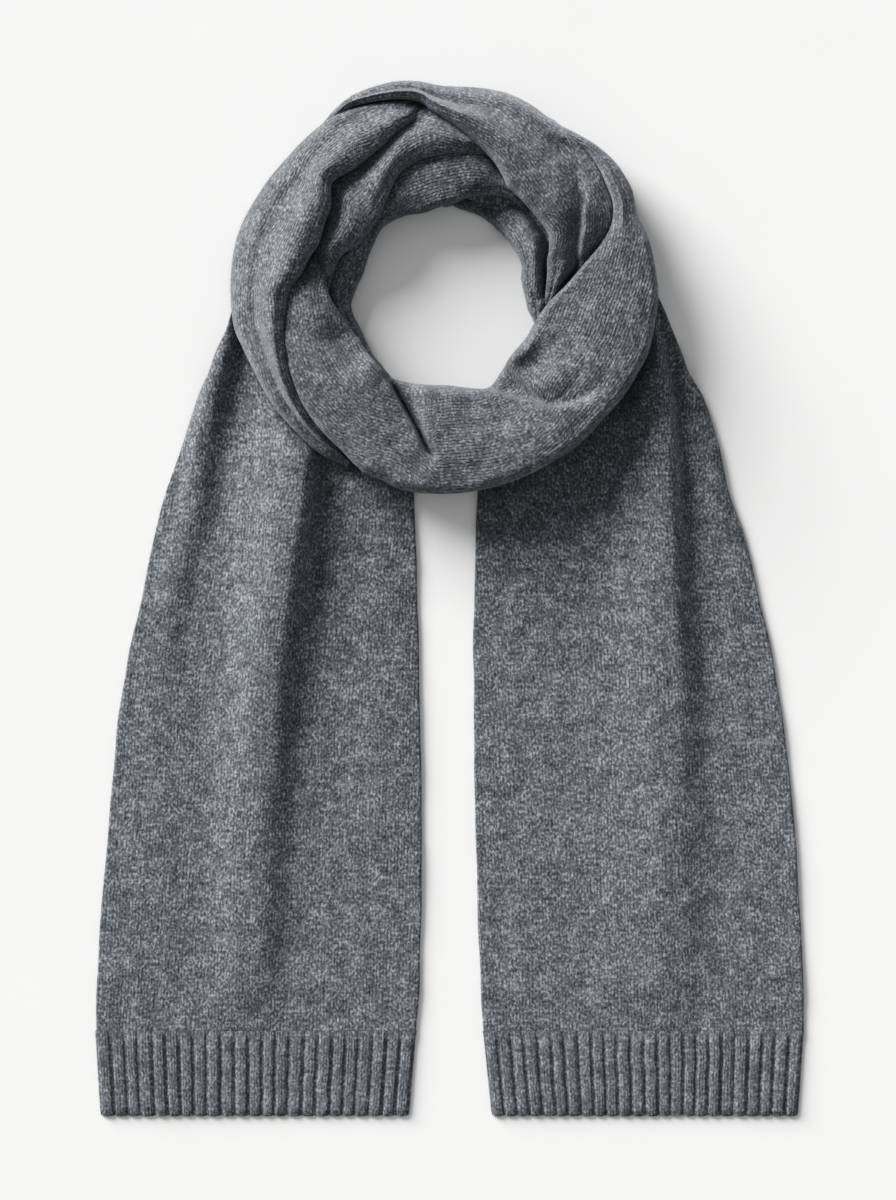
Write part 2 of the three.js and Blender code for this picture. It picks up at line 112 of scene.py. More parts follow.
def ripple(x: np.ndarray, y: np.ndarray, wave: float, seed: int) -> np.ndarray:
    """Gives a smooth random undulation between about -1 and 1.

    Args:
        x: places along the first axis.
        y: places along the second axis.
        wave: rough distance between two swells, in the units of x and y.
        seed: the number that its draws start from.

    Returns:
        The undulation at each place.
    """
    draw = np.random.default_rng(seed)
    waves = 7
    total = np.zeros(np.broadcast(x, y).shape)
    for _ in range(waves):
        turn = draw.uniform(0, 2 * math.pi)
        length = wave * draw.uniform(0.7, 1.6)
        phase = draw.uniform(0, 2 * math.pi)
        total += np.sin((x * math.cos(turn) + y * math.sin(turn)) * 2 * math.pi / length + phase)
    return total / math.sqrt(waves)


# Making meshes


def new_object(name: str, points: np.ndarray, faces: List[Tuple[int, ...]],
               uv: Optional[np.ndarray]) -> bpy.types.Object:
    """Makes a smooth mesh object at the origin.

    Args:
        name: the piece's name.
        points: its points in millimetres.
        faces: its faces as numbers of points.
        uv: a place on the cloth for each point, in metres, or None.

    Returns:
        The new object.
    """
    mesh = bpy.data.meshes.new(name)
    mesh.from_pydata((points * MM).tolist(), [], faces)
    if uv is not None:
        layer = mesh.uv_layers.new(name="UVMap")
        corner = np.empty(len(mesh.loops), np.int32)
        mesh.loops.foreach_get("vertex_index", corner)
        layer.data.foreach_set("uv", uv[corner].astype(np.float32).ravel())
    mesh.shade_smooth()
    mesh.validate()
    mesh.update()
    piece = bpy.data.objects.new(name, mesh)
    bpy.context.scene.collection.objects.link(piece)
    return piece


def shell(name: str, outside: np.ndarray, inside: np.ndarray, uv: np.ndarray,
          bulge: float) -> bpy.types.Object:
    """Makes a closed wall between two grids of points, with rounded long edges.

    Args:
        name: the piece's name.
        outside: the outer surface, as rows by columns by 3, in millimetres.
        inside: the inner surface, of the same shape.
        uv: the place on the cloth of each outer point, in metres.
        bulge: how far the rounded edges stand out, as a share of the wall.

    Returns:
        The new object.
    """
    rows, columns, _ = outside.shape

    def edge(i: int, beside: int) -> np.ndarray:
        outward = outside[:, i] - outside[:, beside]
        outward /= np.maximum(np.linalg.norm(outward, axis=1, keepdims=True), 1e-6)
        wall = np.linalg.norm(outside[:, i] - inside[:, i], axis=1, keepdims=True)
        return (outside[:, i] + inside[:, i]) / 2 + outward * wall * bulge

    last, first = edge(columns - 1, columns - 2), edge(0, 1)
    around = np.concatenate([outside, last[:, None], inside[:, ::-1], first[:, None]], axis=1)
    around[..., 2] = np.maximum(around[..., 2], 0.0)
    cloth = np.concatenate([uv, uv[:, -1:], uv[:, ::-1], uv[:, :1]], axis=1)
    count = around.shape[1]
    j, i = np.meshgrid(np.arange(rows - 1), np.arange(count), indexing="ij")
    k = (i + 1) % count
    sides = np.stack([j * count + i, j * count + k, (j + 1) * count + k, (j + 1) * count + i], axis=-1)
    faces = [tuple(face) for face in sides.reshape(-1, 4).tolist()]
    for row, turned in ((0, True), (rows - 1, False)):
        start = row * count
        near = [(start + c, start + c + 1, start + 2 * columns - 1 - c, start + 2 * columns - c)
                for c in range(columns - 1)]
        near.append((start + columns - 1, start + columns, start + columns + 1))
        near.append((start + 2 * columns, start + 2 * columns + 1, start))
        faces += [tuple(reversed(face)) if turned else face for face in near]
    piece = new_object(name, around.reshape(-1, 3), faces, cloth.reshape(-1, 2))
    face_out(piece)
    rims = {tuple(sorted((row * count + i, row * count + i + 1)))
            for row in (0, rows - 1) for i in range(2 * columns)}
    for line in piece.data.edges:
        line.use_edge_sharp = tuple(sorted(line.vertices)) in rims
    return piece


def face_out(piece: bpy.types.Object) -> None:
    """Turns a closed mesh's faces outwards, by the sign of its volume."""
    mesh = piece.data
    mesh.calc_loop_triangles()
    points = np.empty(len(mesh.vertices) * 3)
    mesh.vertices.foreach_get("co", points)
    corners = np.empty(len(mesh.loop_triangles) * 3, np.int32)
    mesh.loop_triangles.foreach_get("vertices", corners)
    a, b, c = points.reshape(-1, 3)[corners.reshape(-1, 3)].transpose(1, 0, 2)
    if np.einsum("ij,ij->i", a, np.cross(b, c)).sum() < 0:
        mesh.flip_normals()


def fibres(name: str, surfaces: Sequence[np.ndarray], count: int, seed: int) -> bpy.types.Object:
    """Grows short loose fibres on cloth.

    Args:
        name: the piece's name.
        surfaces: the outer surfaces that they grow on, each as rows by columns by 3.
        count: the number of fibres.
        seed: the number that its draws start from.

    Returns:
        The new object, whose UV map holds a random number for each fibre and the place along it.
    """
    draw = np.random.default_rng(seed)
    corners, across, along = [], [], []
    for grid in surfaces:
        corners.append(grid[:-1, :-1].reshape(-1, 3))
        across.append((grid[:-1, 1:] - grid[:-1, :-1]).reshape(-1, 3))
        along.append((grid[1:, :-1] - grid[:-1, :-1]).reshape(-1, 3))
    corner, right, ahead = (np.concatenate(parts) for parts in (corners, across, along))
    normal = np.cross(right, ahead)
    area = np.linalg.norm(normal, axis=1)
    pick = draw.choice(len(area), count, p=area / area.sum())
    root = corner[pick] + right[pick] * draw.random((count, 1)) + ahead[pick] * draw.random((count, 1))
    up = normal[pick] / np.maximum(area[pick, None], 1e-9)

    def unit(vector: np.ndarray) -> np.ndarray:
        return vector / np.maximum(np.linalg.norm(vector, axis=1, keepdims=True), 1e-9)

    lean = draw.normal(size=(count, 3))
    lean = unit(lean - up * np.einsum("ij,ij->i", lean, up)[:, None])
    turned = unit(lean + 0.7 * np.cross(up, lean) * draw.uniform(-1, 1, (count, 1)))
    length = draw.uniform(1.0, 3.4, (count, 1))
    middle = root + length * (0.45 * lean + draw.uniform(0.08, 0.3, (count, 1)) * up)
    tip = middle + length * (0.5 * turned + draw.uniform(-0.05, 0.16, (count, 1)) * up)
    side = np.cross(up, lean) * draw.uniform(0.035, 0.06, (count, 1))
    points = np.stack([root - side, root + side, middle + 0.8 * side, middle - 0.8 * side, tip], axis=1)
    points[..., 2] = np.maximum(points[..., 2], 0.05)
    first = np.arange(count)[:, None] * 5
    faces = np.concatenate([first + (0, 1, 2), first + (0, 2, 3), first + (3, 2, 4)])
    chance = draw.random((count, 1))
    place = np.stack([np.broadcast_to(chance, (count, 5)),
                      np.broadcast_to(np.array([0.0, 0.0, 0.5, 0.5, 1.0]), (count, 5))], axis=-1)
    piece = new_object(name, points.reshape(-1, 3), faces.tolist(), place.reshape(-1, 2))
    piece.data.shade_flat()
    return piece


# Finishes


class Wiring:
    """Adds nodes to a tree and joins them, with plain numbers or sockets as inputs."""

    def __init__(self, tree: bpy.types.NodeTree) -> None:
        """Keeps the tree that the nodes go into."""
        self.tree = tree

    def node(self, kind: str, **settings: object) -> bpy.types.Node:
        """Adds a node of a kind and sets its properties."""
        made = self.tree.nodes.new(kind)
        for name, value in settings.items():
            setattr(made, name, value)
        return made

    def feed(self, socket: bpy.types.NodeSocket, value: object) -> None:
        """Joins a socket to another one, or gives it a plain value."""
        if isinstance(value, bpy.types.NodeSocket):
            self.tree.links.new(value, socket)
        else:
            socket.default_value = value

    def math(self, operation: str, *values: object, clamp: bool = False) -> bpy.types.NodeSocket:
        """Adds a Math node and gives its output."""
        made = self.node("ShaderNodeMath", operation=operation, use_clamp=clamp)
        for socket, value in zip(made.inputs, values):
            self.feed(socket, value)
        return made.outputs[0]

    def vector(self, operation: str, *values: object) -> bpy.types.NodeSocket:
        """Adds a Vector Math node and gives its vector output."""
        made = self.node("ShaderNodeVectorMath", operation=operation)
        for socket, value in zip(made.inputs, values):
            self.feed(socket, value)
        return made.outputs[0]

    def scaled(self, value: object, factor: object) -> bpy.types.NodeSocket:
        """Gives a vector times a number."""
        made = self.node("ShaderNodeVectorMath", operation="SCALE")
        self.feed(made.inputs[0], value)
        self.feed(made.inputs["Scale"], factor)
        return made.outputs[0]

    def noise(self, vector: object, scale: float, detail: float = 2.0,
              rough: float = 0.5) -> bpy.types.Node:
        """Adds a Noise Texture and gives the node."""
        made = self.node("ShaderNodeTexNoise")
        self.feed(made.inputs["Vector"], vector)
        self.feed(made.inputs["Scale"], scale)
        self.feed(made.inputs["Detail"], detail)
        self.feed(made.inputs["Roughness"], rough)
        return made

    def spread(self, value: object, low: float, high: float, to_low: float = 0.0, to_high: float = 1.0,
               smooth: bool = False) -> bpy.types.NodeSocket:
        """Maps a range of values to another, clamped."""
        made = self.node("ShaderNodeMapRange", interpolation_type="SMOOTHSTEP" if smooth else "LINEAR")
        for socket, number in zip(made.inputs, (value, low, high, to_low, to_high)):
            self.feed(socket, number)
        return made.outputs[0]

    def ramp(self, value: object, stops: Sequence[Tuple[float, Sequence[float]]]) -> bpy.types.NodeSocket:
        """Adds a Color Ramp with those stops and gives its colour."""
        made = self.node("ShaderNodeValToRGB")
        elements = made.color_ramp.elements
        while len(elements) < len(stops):
            elements.new(0.5)
        for element, (place, colour) in zip(elements, stops):
            element.position = place
            element.color = (*colour, 1.0)
        self.feed(made.inputs[0], value)
        return made.outputs[0]

    def mix(self, factor: object, a: object, b: object, blend: str = "MIX") -> bpy.types.NodeSocket:
        """Mixes two colours."""
        made = self.node("ShaderNodeMix", data_type="RGBA", blend_type=blend)
        self.feed(made.inputs[0], factor)
        self.feed(made.inputs[6], a)
        self.feed(made.inputs[7], b)
        return made.outputs[2]


def node_group(name: str, takes: Sequence[Tuple[str, str]], gives: Sequence[Tuple[str, str]]) -> Tuple[
        bpy.types.NodeTree, bpy.types.Node, bpy.types.Node]:
    """Makes an empty shader node group.

    Args:
        name: its name.
        takes: name and type of each input.
        gives: name and type of each output.

    Returns:
        The group, its input node and its output node.
    """
    group = bpy.data.node_groups.new(name, "ShaderNodeTree")
    for label, kind in takes:
        group.interface.new_socket(label, in_out="INPUT", socket_type=kind)
    for label, kind in gives:
        group.interface.new_socket(label, in_out="OUTPUT", socket_type=kind)
    return group, group.nodes.new("NodeGroupInput"), group.nodes.new("NodeGroupOutput")


def jersey_stitches() -> bpy.types.NodeTree:
    """Makes the group of plain knit stitches: upright columns of small V shapes.

    Returns:
        A group that takes the place on the cloth in metres, the width of a column, the height of
        a row and how far the yarn wanders, and gives the yarn's height and a random value for
        each leg of each stitch.
    """
    group, takes, gives = node_group(
        "jersey stitches",
        [("Cloth", "NodeSocketVector"), ("Wale", "NodeSocketFloat"), ("Course", "NodeSocketFloat"),
         ("Wander", "NodeSocketFloat")],
        [("Height", "NodeSocketFloat"), ("Leg", "NodeSocketFloat"), ("Groove", "NodeSocketFloat")])
    wire = Wiring(group)
    cloth = takes.outputs["Cloth"]
    drift = wire.vector("SUBTRACT", wire.noise(cloth, 170.0, 2.0).outputs["Color"], (0.5, 0.5, 0.5))
    place = wire.vector("ADD", cloth, wire.scaled(drift, takes.outputs["Wander"]))
    parts = wire.node("ShaderNodeSeparateXYZ")
    wire.feed(parts.inputs[0], place)
    across = wire.math("DIVIDE", parts.outputs[0], takes.outputs["Wale"])
    wale = wire.math("FLOOR", across)
    beside = wire.math("SUBTRACT", wire.math("SUBTRACT", across, wale), 0.5)
    off = wire.math("MULTIPLY", wire.math("ABSOLUTE", beside), 2.0)
    along = wire.math("ADD", wire.math("DIVIDE", parts.outputs[1], takes.outputs["Course"]),
                      wire.math("MULTIPLY", off, 0.85))
    course = wire.math("FLOOR", along)
    strand = wire.math("SINE", wire.math("MULTIPLY", wire.math("SUBTRACT", along, course), math.pi))
    rounded = wire.math("SUBTRACT", 1.0, wire.math("POWER", off, 3.0))
    middle = wire.spread(off, 0.0, 0.3, 0.7, 1.0, smooth=True)
    height = wire.math("MULTIPLY", wire.math("MULTIPLY", rounded, middle),
                       wire.math("MULTIPLY_ADD", strand, 0.6, 0.4))
    leg = wire.node("ShaderNodeCombineXYZ")
    wire.feed(leg.inputs[0], wire.math("MULTIPLY_ADD", wale, 2.0, wire.math("GREATER_THAN", beside, 0.0)))
    wire.feed(leg.inputs[1], course)
    chance = wire.node("ShaderNodeTexWhiteNoise", noise_dimensions="2D")
    wire.feed(chance.inputs["Vector"], leg.outputs[0])
    # Height also drives the yarn bump. The knit's material paints shade where Height is low and where
    # Groove, the nearness to the gap between two columns, is high.
    wire.feed(gives.inputs["Height"], height)
    wire.feed(gives.inputs["Leg"], chance.outputs["Value"])
    wire.feed(gives.inputs["Groove"], wire.spread(off, 0.5, 0.95, 0.0, 1.0, smooth=True))
    return group


def heather() -> bpy.types.NodeTree:
    """Makes the group of heathered wool: dark, middle and light fibres carded together.

    Returns:
        A group that takes the place on the cloth, the random value of a stitch's leg and three
        colours, and gives the yarn's colour and the height of its loose fibres.
    """
    group, takes, gives = node_group(
        "heather",
        [("Cloth", "NodeSocketVector"), ("Leg", "NodeSocketFloat"), ("Dark", "NodeSocketColor"),
         ("Middle", "NodeSocketColor"), ("Light", "NodeSocketColor"), ("Contrast", "NodeSocketFloat")],
        [("Colour", "NodeSocketColor"), ("Fibre", "NodeSocketFloat")])
    wire = Wiring(group)
    cloth = takes.outputs["Cloth"]
    drawn = wire.vector("MULTIPLY", cloth, (1.0, 0.82, 1.0))
    fine = wire.noise(drawn, 560.0, 2.0, 0.55).outputs["Fac"]
    clump = wire.noise(cloth, 210.0, 2.0, 0.5).outputs["Fac"]
    blotch = wire.noise(cloth, 90.0, 3.0, 0.55).outputs["Fac"]
    tone = wire.math("ADD", wire.spread(fine, 0.26, 0.74, -0.27, 0.27),
                     wire.spread(clump, 0.28, 0.72, -0.07, 0.07))
    tone = wire.math("ADD", tone, wire.math("MULTIPLY_ADD", takes.outputs["Leg"], 0.12, -0.06))
    tone = wire.math("ADD", tone, wire.spread(blotch, 0.3, 0.7, -0.09, 0.09))
    centred = wire.math("MULTIPLY_ADD", tone, takes.outputs["Contrast"], 0.5)
    dark = wire.spread(centred, 0.5, 0.08)
    light = wire.spread(centred, 0.5, 1.0)
    colour = wire.mix(dark, takes.outputs["Middle"], takes.outputs["Dark"])
    colour = wire.mix(light, colour, takes.outputs["Light"])
    hue = wire.noise(wire.vector("ADD", cloth, (0.37, 0.11, 0.0)), 420.0, 2.0).outputs["Fac"]
    warm = wire.ramp(hue, [(0.3, (0.93, 0.99, 1.06)), (0.5, (1.0, 1.0, 1.0)), (0.7, (1.05, 1.02, 0.94))])
    wire.feed(gives.inputs["Colour"], wire.mix(1.0, colour, warm, "MULTIPLY"))
    wire.feed(gives.inputs["Fibre"], wire.math("ADD", wire.math("MULTIPLY", fine, 0.7),
                                                wire.math("MULTIPLY", clump, 0.3)))
    return group


@dataclass(frozen=True)
class Knit:
    """Heathered lambswool jersey, lightly felted."""

    name: str = "heathered_knit"
    # dark: the darkest fibres of the heather, and also the colour that shade is painted towards in the
    # stitch grooves and hollows.
    dark: Tuple[float, float, float] = (0.034, 0.037, 0.041)
    middle: Tuple[float, float, float] = (0.134, 0.144, 0.157)
    light: Tuple[float, float, float] = (0.45, 0.475, 0.505)
    contrast: float = 1.3
    wale: float = 2.3
    course: float = 1.75
    clear: float = 0.35
    yarn: float = 0.7
    felt: float = 0.45
    wander: float = 1.0
    # groove: how strongly shade is painted into the grooves between the stitch columns.
    groove: float = 0.2

    def material(self, groups: Dict[str, bpy.types.NodeTree]) -> bpy.types.Material:
        """Makes the cloth's material.

        Args:
            groups: the shared node groups by name.

        Returns:
            The new material.
        """
        made = bpy.data.materials.new(self.name)
        made.use_nodes = True
        wire = Wiring(made.node_tree)
        shader = made.node_tree.nodes["Principled BSDF"]
        place = wire.node("ShaderNodeUVMap", uv_map="UVMap").outputs[0]
        stitch = wire.node("ShaderNodeGroup", node_tree=groups["stitches"])
        wire.feed(stitch.inputs["Cloth"], place)
        stitch.inputs["Wale"].default_value = self.wale * MM
        stitch.inputs["Course"].default_value = self.course * MM
        stitch.inputs["Wander"].default_value = self.wander * MM
        yarn = wire.node("ShaderNodeGroup", node_tree=groups["heather"])
        wire.feed(yarn.inputs["Cloth"], place)
        wire.feed(yarn.inputs["Leg"], stitch.outputs["Leg"])
        for label, colour in (("Dark", self.dark), ("Middle", self.middle), ("Light", self.light)):
            yarn.inputs[label].default_value = (*colour, 1.0)
        yarn.inputs["Contrast"].default_value = self.contrast
        worn = wire.noise(place, 24.0, 3.0, 0.6).outputs["Fac"]
        clear = wire.spread(worn, 0.35, 0.62, 0.35, 1.0, smooth=True)
        # Painted shade: the yarn colour is darkened towards the dark fibres in the grooves between the
        # stitch columns and in the low hollows of each stitch, where shade falls. The bumps below only tilt
        # the normals.
        shade = wire.math("MULTIPLY", wire.math("MULTIPLY", stitch.outputs["Groove"], clear), self.groove)
        painted_hollow_shade = wire.spread(stitch.outputs["Height"], 0.0, 0.5, 0.25, 0.0)
        shade = wire.math("ADD", shade, painted_hollow_shade, clamp=True)
        colour = wire.mix(shade, yarn.outputs["Colour"], (*self.dark, 1.0))
        wire.feed(shader.inputs["Base Color"], colour)
        shader.inputs["Roughness"].default_value = 0.92
        shader.inputs["Specular IOR Level"].default_value = 0.25
        shader.inputs["Sheen Weight"].default_value = 0.4
        shader.inputs["Sheen Roughness"].default_value = 0.45
        shader.inputs["Sheen Tint"].default_value = (0.75, 0.8, 0.88, 1.0)
        felt = wire.node("ShaderNodeBump")
        felt.inputs["Strength"].default_value = 1.0
        felt.inputs["Distance"].default_value = self.felt * MM
        wire.feed(felt.inputs["Height"], yarn.outputs["Fibre"])
        yarns = wire.node("ShaderNodeBump")
        yarns.inputs["Strength"].default_value = self.clear
        yarns.inputs["Distance"].default_value = self.yarn * MM
        wire.feed(yarns.inputs["Height"], wire.math("MULTIPLY", stitch.outputs["Height"], clear))
        wire.feed(yarns.inputs["Normal"], felt.outputs[0])
        wire.feed(shader.inputs["Normal"], yarns.outputs[0])
        return made


@dataclass(frozen=True)
class Fuzz:
    """Loose wool fibres, each of one shade."""

    name: str = "loose_fibres"
    dark: Tuple[float, float, float] = (0.06, 0.066, 0.075)
    middle: Tuple[float, float, float] = (0.17, 0.18, 0.2)
    light: Tuple[float, float, float] = (0.42, 0.44, 0.47)

    def material(self) -> bpy.types.Material:
        """Makes the fibres' material."""
        made = bpy.data.materials.new(self.name)
        made.use_nodes = True
        wire = Wiring(made.node_tree)
        shader = made.node_tree.nodes["Principled BSDF"]
        parts = wire.node("ShaderNodeSeparateXYZ")
        wire.feed(parts.inputs[0], wire.node("ShaderNodeUVMap", uv_map="UVMap").outputs[0])
        shade = wire.ramp(parts.outputs[0], [(0.0, self.dark), (0.55, self.middle), (1.0, self.light)])
        wire.feed(shader.inputs["Base Color"], shade)
        shader.inputs["Roughness"].default_value = 0.7
        shader.inputs["Specular IOR Level"].default_value = 0.3
        return made


# The loop


@dataclass
class Loop:
    """The wound part of the scarf, and the lines that divide it, as angle and radius."""

    centre: Tuple[float, float] = (-2.8, 212.5)
    gap: float = 0.5
    lines: Dict[str, Sequence[Row]] = field(default_factory=lambda: {
        "outline": (
            (-122, 138), (-110, 137.2), (-103, 140), (-90, 139.3), (-74, 138.6), (-60, 138.6),
            (-47, 140), (-40, 140), (-31, 142.5), (-22, 144.9), (-15, 147), (-8, 147), (0, 147.7),
            (6, 147), (15, 146.3), (22, 144.2), (30, 149.1), (37, 149.8), (45, 147.7), (51, 144.9),
            (60, 143.5), (67, 146.3), (74, 147.7), (90, 146.3), (98, 150.5), (105, 153.3),
            (114, 154), (120, 151.9), (128, 147.7), (136, 147.7), (150, 149.8), (165, 152.6),
            (180, 151.2), (188, 150.5), (195, 147), (203, 144.2), (213, 143.5), (223, 142.1),
            (229, 142.1), (239, 138.6)),
        "hole": (
            (-140, 66), (-127, 70.7), (-122, 68.6), (-90, 63), (-78, 66), (-65.5, 70.7), (-55, 66),
            (-42, 61.6), (-21, 63.7), (-8, 56.7), (11, 53.2), (23, 56.7), (37, 57.4), (53, 58.8),
            (68, 60.9), (90, 61.6), (104, 58.8), (119, 62.3), (133, 64.4), (145, 61.6),
            (164, 59.5), (176, 63), (187, 66.5), (203, 63.7), (219, 65.1)),
        "over_left": (
            (-8, 67), (-1, 68.5), (5.5, 69.7), (13, 72), (18, 73.5), (23, 77.5), (31.5, 82),
            (41.5, 82), (50, 83), (57, 84.5), (60, 85.5), (64, 90), (71, 98), (76, 103), (82, 110),
            (89, 119), (94, 126), (98, 134.5), (103, 138.5), (109, 141.5), (116, 145),
            (123, 147.6), (128, 147.7)),
        "over_right": (
            (-21, 63.7), (-12, 66.5), (-5, 71), (5.5, 85.5), (13, 99.5), (18, 112.5), (23, 124.5),
            (29, 132), (35, 135), (41.5, 138), (50, 140), (58, 143.5)),
        "left_inner": (
            (94, 126), (105, 118.5), (115, 110), (126, 107), (135, 110), (143, 99.5), (150, 96.8),
            (158, 94.5), (165, 97.5), (172, 101), (178, 108.5), (186, 112.7), (193, 116.5),
            (202, 120.5), (211, 124), (219, 126.7), (228, 129), (236, 131.2), (245, 136.5),
            (250, 137.2)),
        "upper_inner": (
            (71, 98), (82, 98), (93, 96), (102, 94), (111, 89), (122, 77), (136, 68.6), (149, 69),
            (158, 76), (165, 79), (180, 80.6)),
        "front_left": (
            (159, 94), (169, 86), (181, 80.5), (193, 73), (202, 69.5), (209, 67.2), (219, 67.6),
            (227, 68), (236, 70)),
        "inner_end": ((57, 80.5), (67, 75.6), (79, 68), (84, 64), (90, 61.6)),
    })

    def border(self, parts: Border, angles: np.ndarray) -> np.ndarray:
        """Gives the radius of a stretch's border.

        Args:
            parts: lowest angle, name of the line and turn that is added, in falling order.
            angles: the angles where it is read.

        Returns:
            The radius at each angle.
        """
        radius = np.zeros(len(angles))
        left = np.ones(len(angles), bool)
        for lowest, name, turn in parts:
            here = left & (angles >= lowest)
            radius[here] = column(self.lines[name], 1, angles[here] + turn)
            left &= ~here
        return radius

    def towards(self, x: np.ndarray, y: np.ndarray) -> np.ndarray:
        """Gives how far points lie outside the loop's outline."""
        angle = np.degrees(np.arctan2(y - self.centre[1], x - self.centre[0]))
        outline = self.lines["outline"]
        angle = np.where(angle < outline[0][0], angle + 360, angle)
        return np.hypot(x - self.centre[0], y - self.centre[1]) - column(outline, 1, angle)


class Section(NamedTuple):
    """How a stretch stands at one angle, in degrees and millimetres."""

    angle: float
    low_in: float
    edge_in: float
    crown: float
    edge_out: float
    low_out: float
    roll_in: float
    roll_out: float
    tuck_in: float = 0.0
    tuck_out: float = 0.0


class Crease(NamedTuple):
    """One place on a crease: how deep it is and how far it reaches inwards and outwards."""

    angle: float
    radius: float
    depth: float
    reach_in: float
    reach_out: float


@dataclass
class Stretch:
    """One stretch of the wound cloth that shows.

    Each section has the heights of its lower edges, its shoulders and its crown, the radii of
    its rolled edges, and how far its edges are tucked under a neighbour.
    """

    name: str
    start: float
    end: float
    inner: Border
    outer: Border
    sections: Sequence[Section]
    creases: Sequence[Sequence[Crease]]
    cut: Tuple[float, float]
    rests_on: Tuple[str, ...]
    seed: int
    wall: float = 2.6
    degree: float = 1.0
    swell: float = 0.45
    across: int = 44
    round: int = 9
    skirt: int = 5
    fall: float = 1.5
    drawn: float = 4.5
    least: float = 7.0
    surface: Optional[np.ndarray] = None

    def section(self, loop: Loop, angles: np.ndarray, inward: float) -> Tuple[np.ndarray, np.ndarray]:
        """Works out the sections of the stretch.

        Args:
            loop: the loop that it belongs to.
            angles: the angles of the sections.
            inward: how far the surface lies inside the outer one.

        Returns:
            The radius and the height of each point, as angles by points.
        """
        low_in, edge_in, crown, edge_out, low_out, roll_in, roll_out, tuck_in, tuck_out = (
            column(self.sections, key, angles) for key in range(1, 10))
        inner = loop.border(self.inner, angles) - tuck_in + loop.gap / 2
        outer = loop.border(self.outer, angles) + tuck_out - loop.gap / 2
        inner = np.minimum(inner, outer - self.least)
        width = outer - inner
        inward = np.minimum(inward, 0.26 * width)
        roll_in, roll_out = np.minimum(roll_in, 0.45 * width), np.minimum(roll_out, 0.45 * width)
        drop_in = np.minimum(self.fall * roll_in, edge_in - low_in - 0.4)
        drop_out = np.minimum(self.fall * roll_out, edge_out - low_out - 0.4)
        roll_in, roll_out = np.minimum(roll_in, drop_in), np.minimum(roll_out, drop_out)
        drawn = np.minimum(self.drawn, 0.13 * width)
        radii, heights = [], []

        def add(radius: np.ndarray, height: np.ndarray) -> None:
            radii.append(radius)
            heights.append(height)

        in_wall = np.minimum(inward, 0.8 * roll_in)
        out_wall = np.minimum(inward, 0.8 * roll_out)
        for i in range(self.skirt):
            up = i / self.skirt
            add(inner + in_wall + drawn * (1 - up) ** 2, low_in + (edge_in - drop_in - low_in) * up)
        for i in range(self.round + 1):
            turn = i / self.round * math.pi / 2
            add(inner + roll_in - (roll_in - in_wall) * math.cos(turn),
                edge_in - drop_in + (drop_in - in_wall) * math.sin(turn))
        start, end = inner + roll_in, outer - roll_out
        for i in range(1, self.across):
            u = i / self.across
            radius = start + (end - start) * u
            shoulder = edge_in + (edge_out - edge_in) * u * u * (3 - 2 * u)
            wall = in_wall + (out_wall - in_wall) * u
            arch = (crown - (edge_in + edge_out) / 2) * math.sin(math.pi * u)
            add(radius, shoulder + arch - wall)
        for i in range(self.round, -1, -1):
            turn = i / self.round * math.pi / 2
            add(outer - roll_out + (roll_out - out_wall) * math.cos(turn),
                edge_out - drop_out + (drop_out - out_wall) * math.sin(turn))
        for i in range(self.skirt - 1, -1, -1):
            up = i / self.skirt
            add(outer - out_wall - drawn * (1 - up) ** 2, low_out + (edge_out - drop_out - low_out) * up)
        radius, height = np.stack(radii, axis=1), np.stack(heights, axis=1)
        return radius, height - self.sunk(angles, radius, height, low_in, low_out)

    def sunk(self, angles: np.ndarray, radius: np.ndarray, height: np.ndarray, low_in: np.ndarray,
             low_out: np.ndarray) -> np.ndarray:
        """Gives how far creases and small swells lower each point, which fades towards the lower edges."""
        depth = np.zeros_like(radius)
        for rows in self.creases:
            inside = (angles >= rows[0].angle) & (angles <= rows[-1].angle)
            away = radius - column(rows, 1, angles)[:, None]
            reach = np.where(away < 0, column(rows, 3, angles)[:, None], column(rows, 4, angles)[:, None])
            depth += (inside * column(rows, 2, angles))[:, None] * np.exp(-(away / reach) ** 2)
        along = np.radians(angles)[:, None] * 100.0
        depth += self.swell * ripple(along, radius * 1.6, 38.0, self.seed)
        depth += 0.5 * self.swell * ripple(along, radius * 1.3, 13.0, self.seed + 50)
        floor = np.minimum(low_in, low_out)[:, None]
        return np.minimum(depth * ease(height - floor, 1.0, 9.0), 0.85 * (height - floor))

    def build(self, loop: Loop, finish: bpy.types.Material) -> bpy.types.Object:
        """Models the stretch as a thin shell and dresses it.

        Args:
            loop: the loop that it belongs to.
            finish: its material.

        Returns:
            The new piece.
        """
        count = round((self.end - self.start) / self.degree)
        angles = np.linspace(self.start, self.end, count + 1)
        turn = np.radians(angles)[:, None]
        grids = []
        for inward in (0.0, self.wall):
            radius, height = self.section(loop, angles, inward)
            x = loop.centre[0] + radius * np.cos(turn)
            y = loop.centre[1] + radius * np.sin(turn)
            grids.append(np.stack([x, y, height], axis=-1))
        outside, inside = grids
        self.surface = outside
        step = np.linalg.norm(np.diff(outside, axis=1), axis=2)
        run = np.concatenate([np.zeros((len(angles), 1)), np.cumsum(step, axis=1)], axis=1)
        across = run - run[:, -1:] / 2
        middle = outside[:, outside.shape[1] // 2]
        along = np.concatenate([[0.0], np.cumsum(np.linalg.norm(np.diff(middle, axis=0), axis=1))])
        place = np.stack([across, np.broadcast_to(along[:, None], across.shape)], axis=-1) * MM
        piece = shell(f"{self.name}_cloth", outside, inside, place + self.seed * 0.31, 0.3)
        piece.data.materials.append(finish)
        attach(piece, BODY)
        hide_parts(self.name)
        return piece


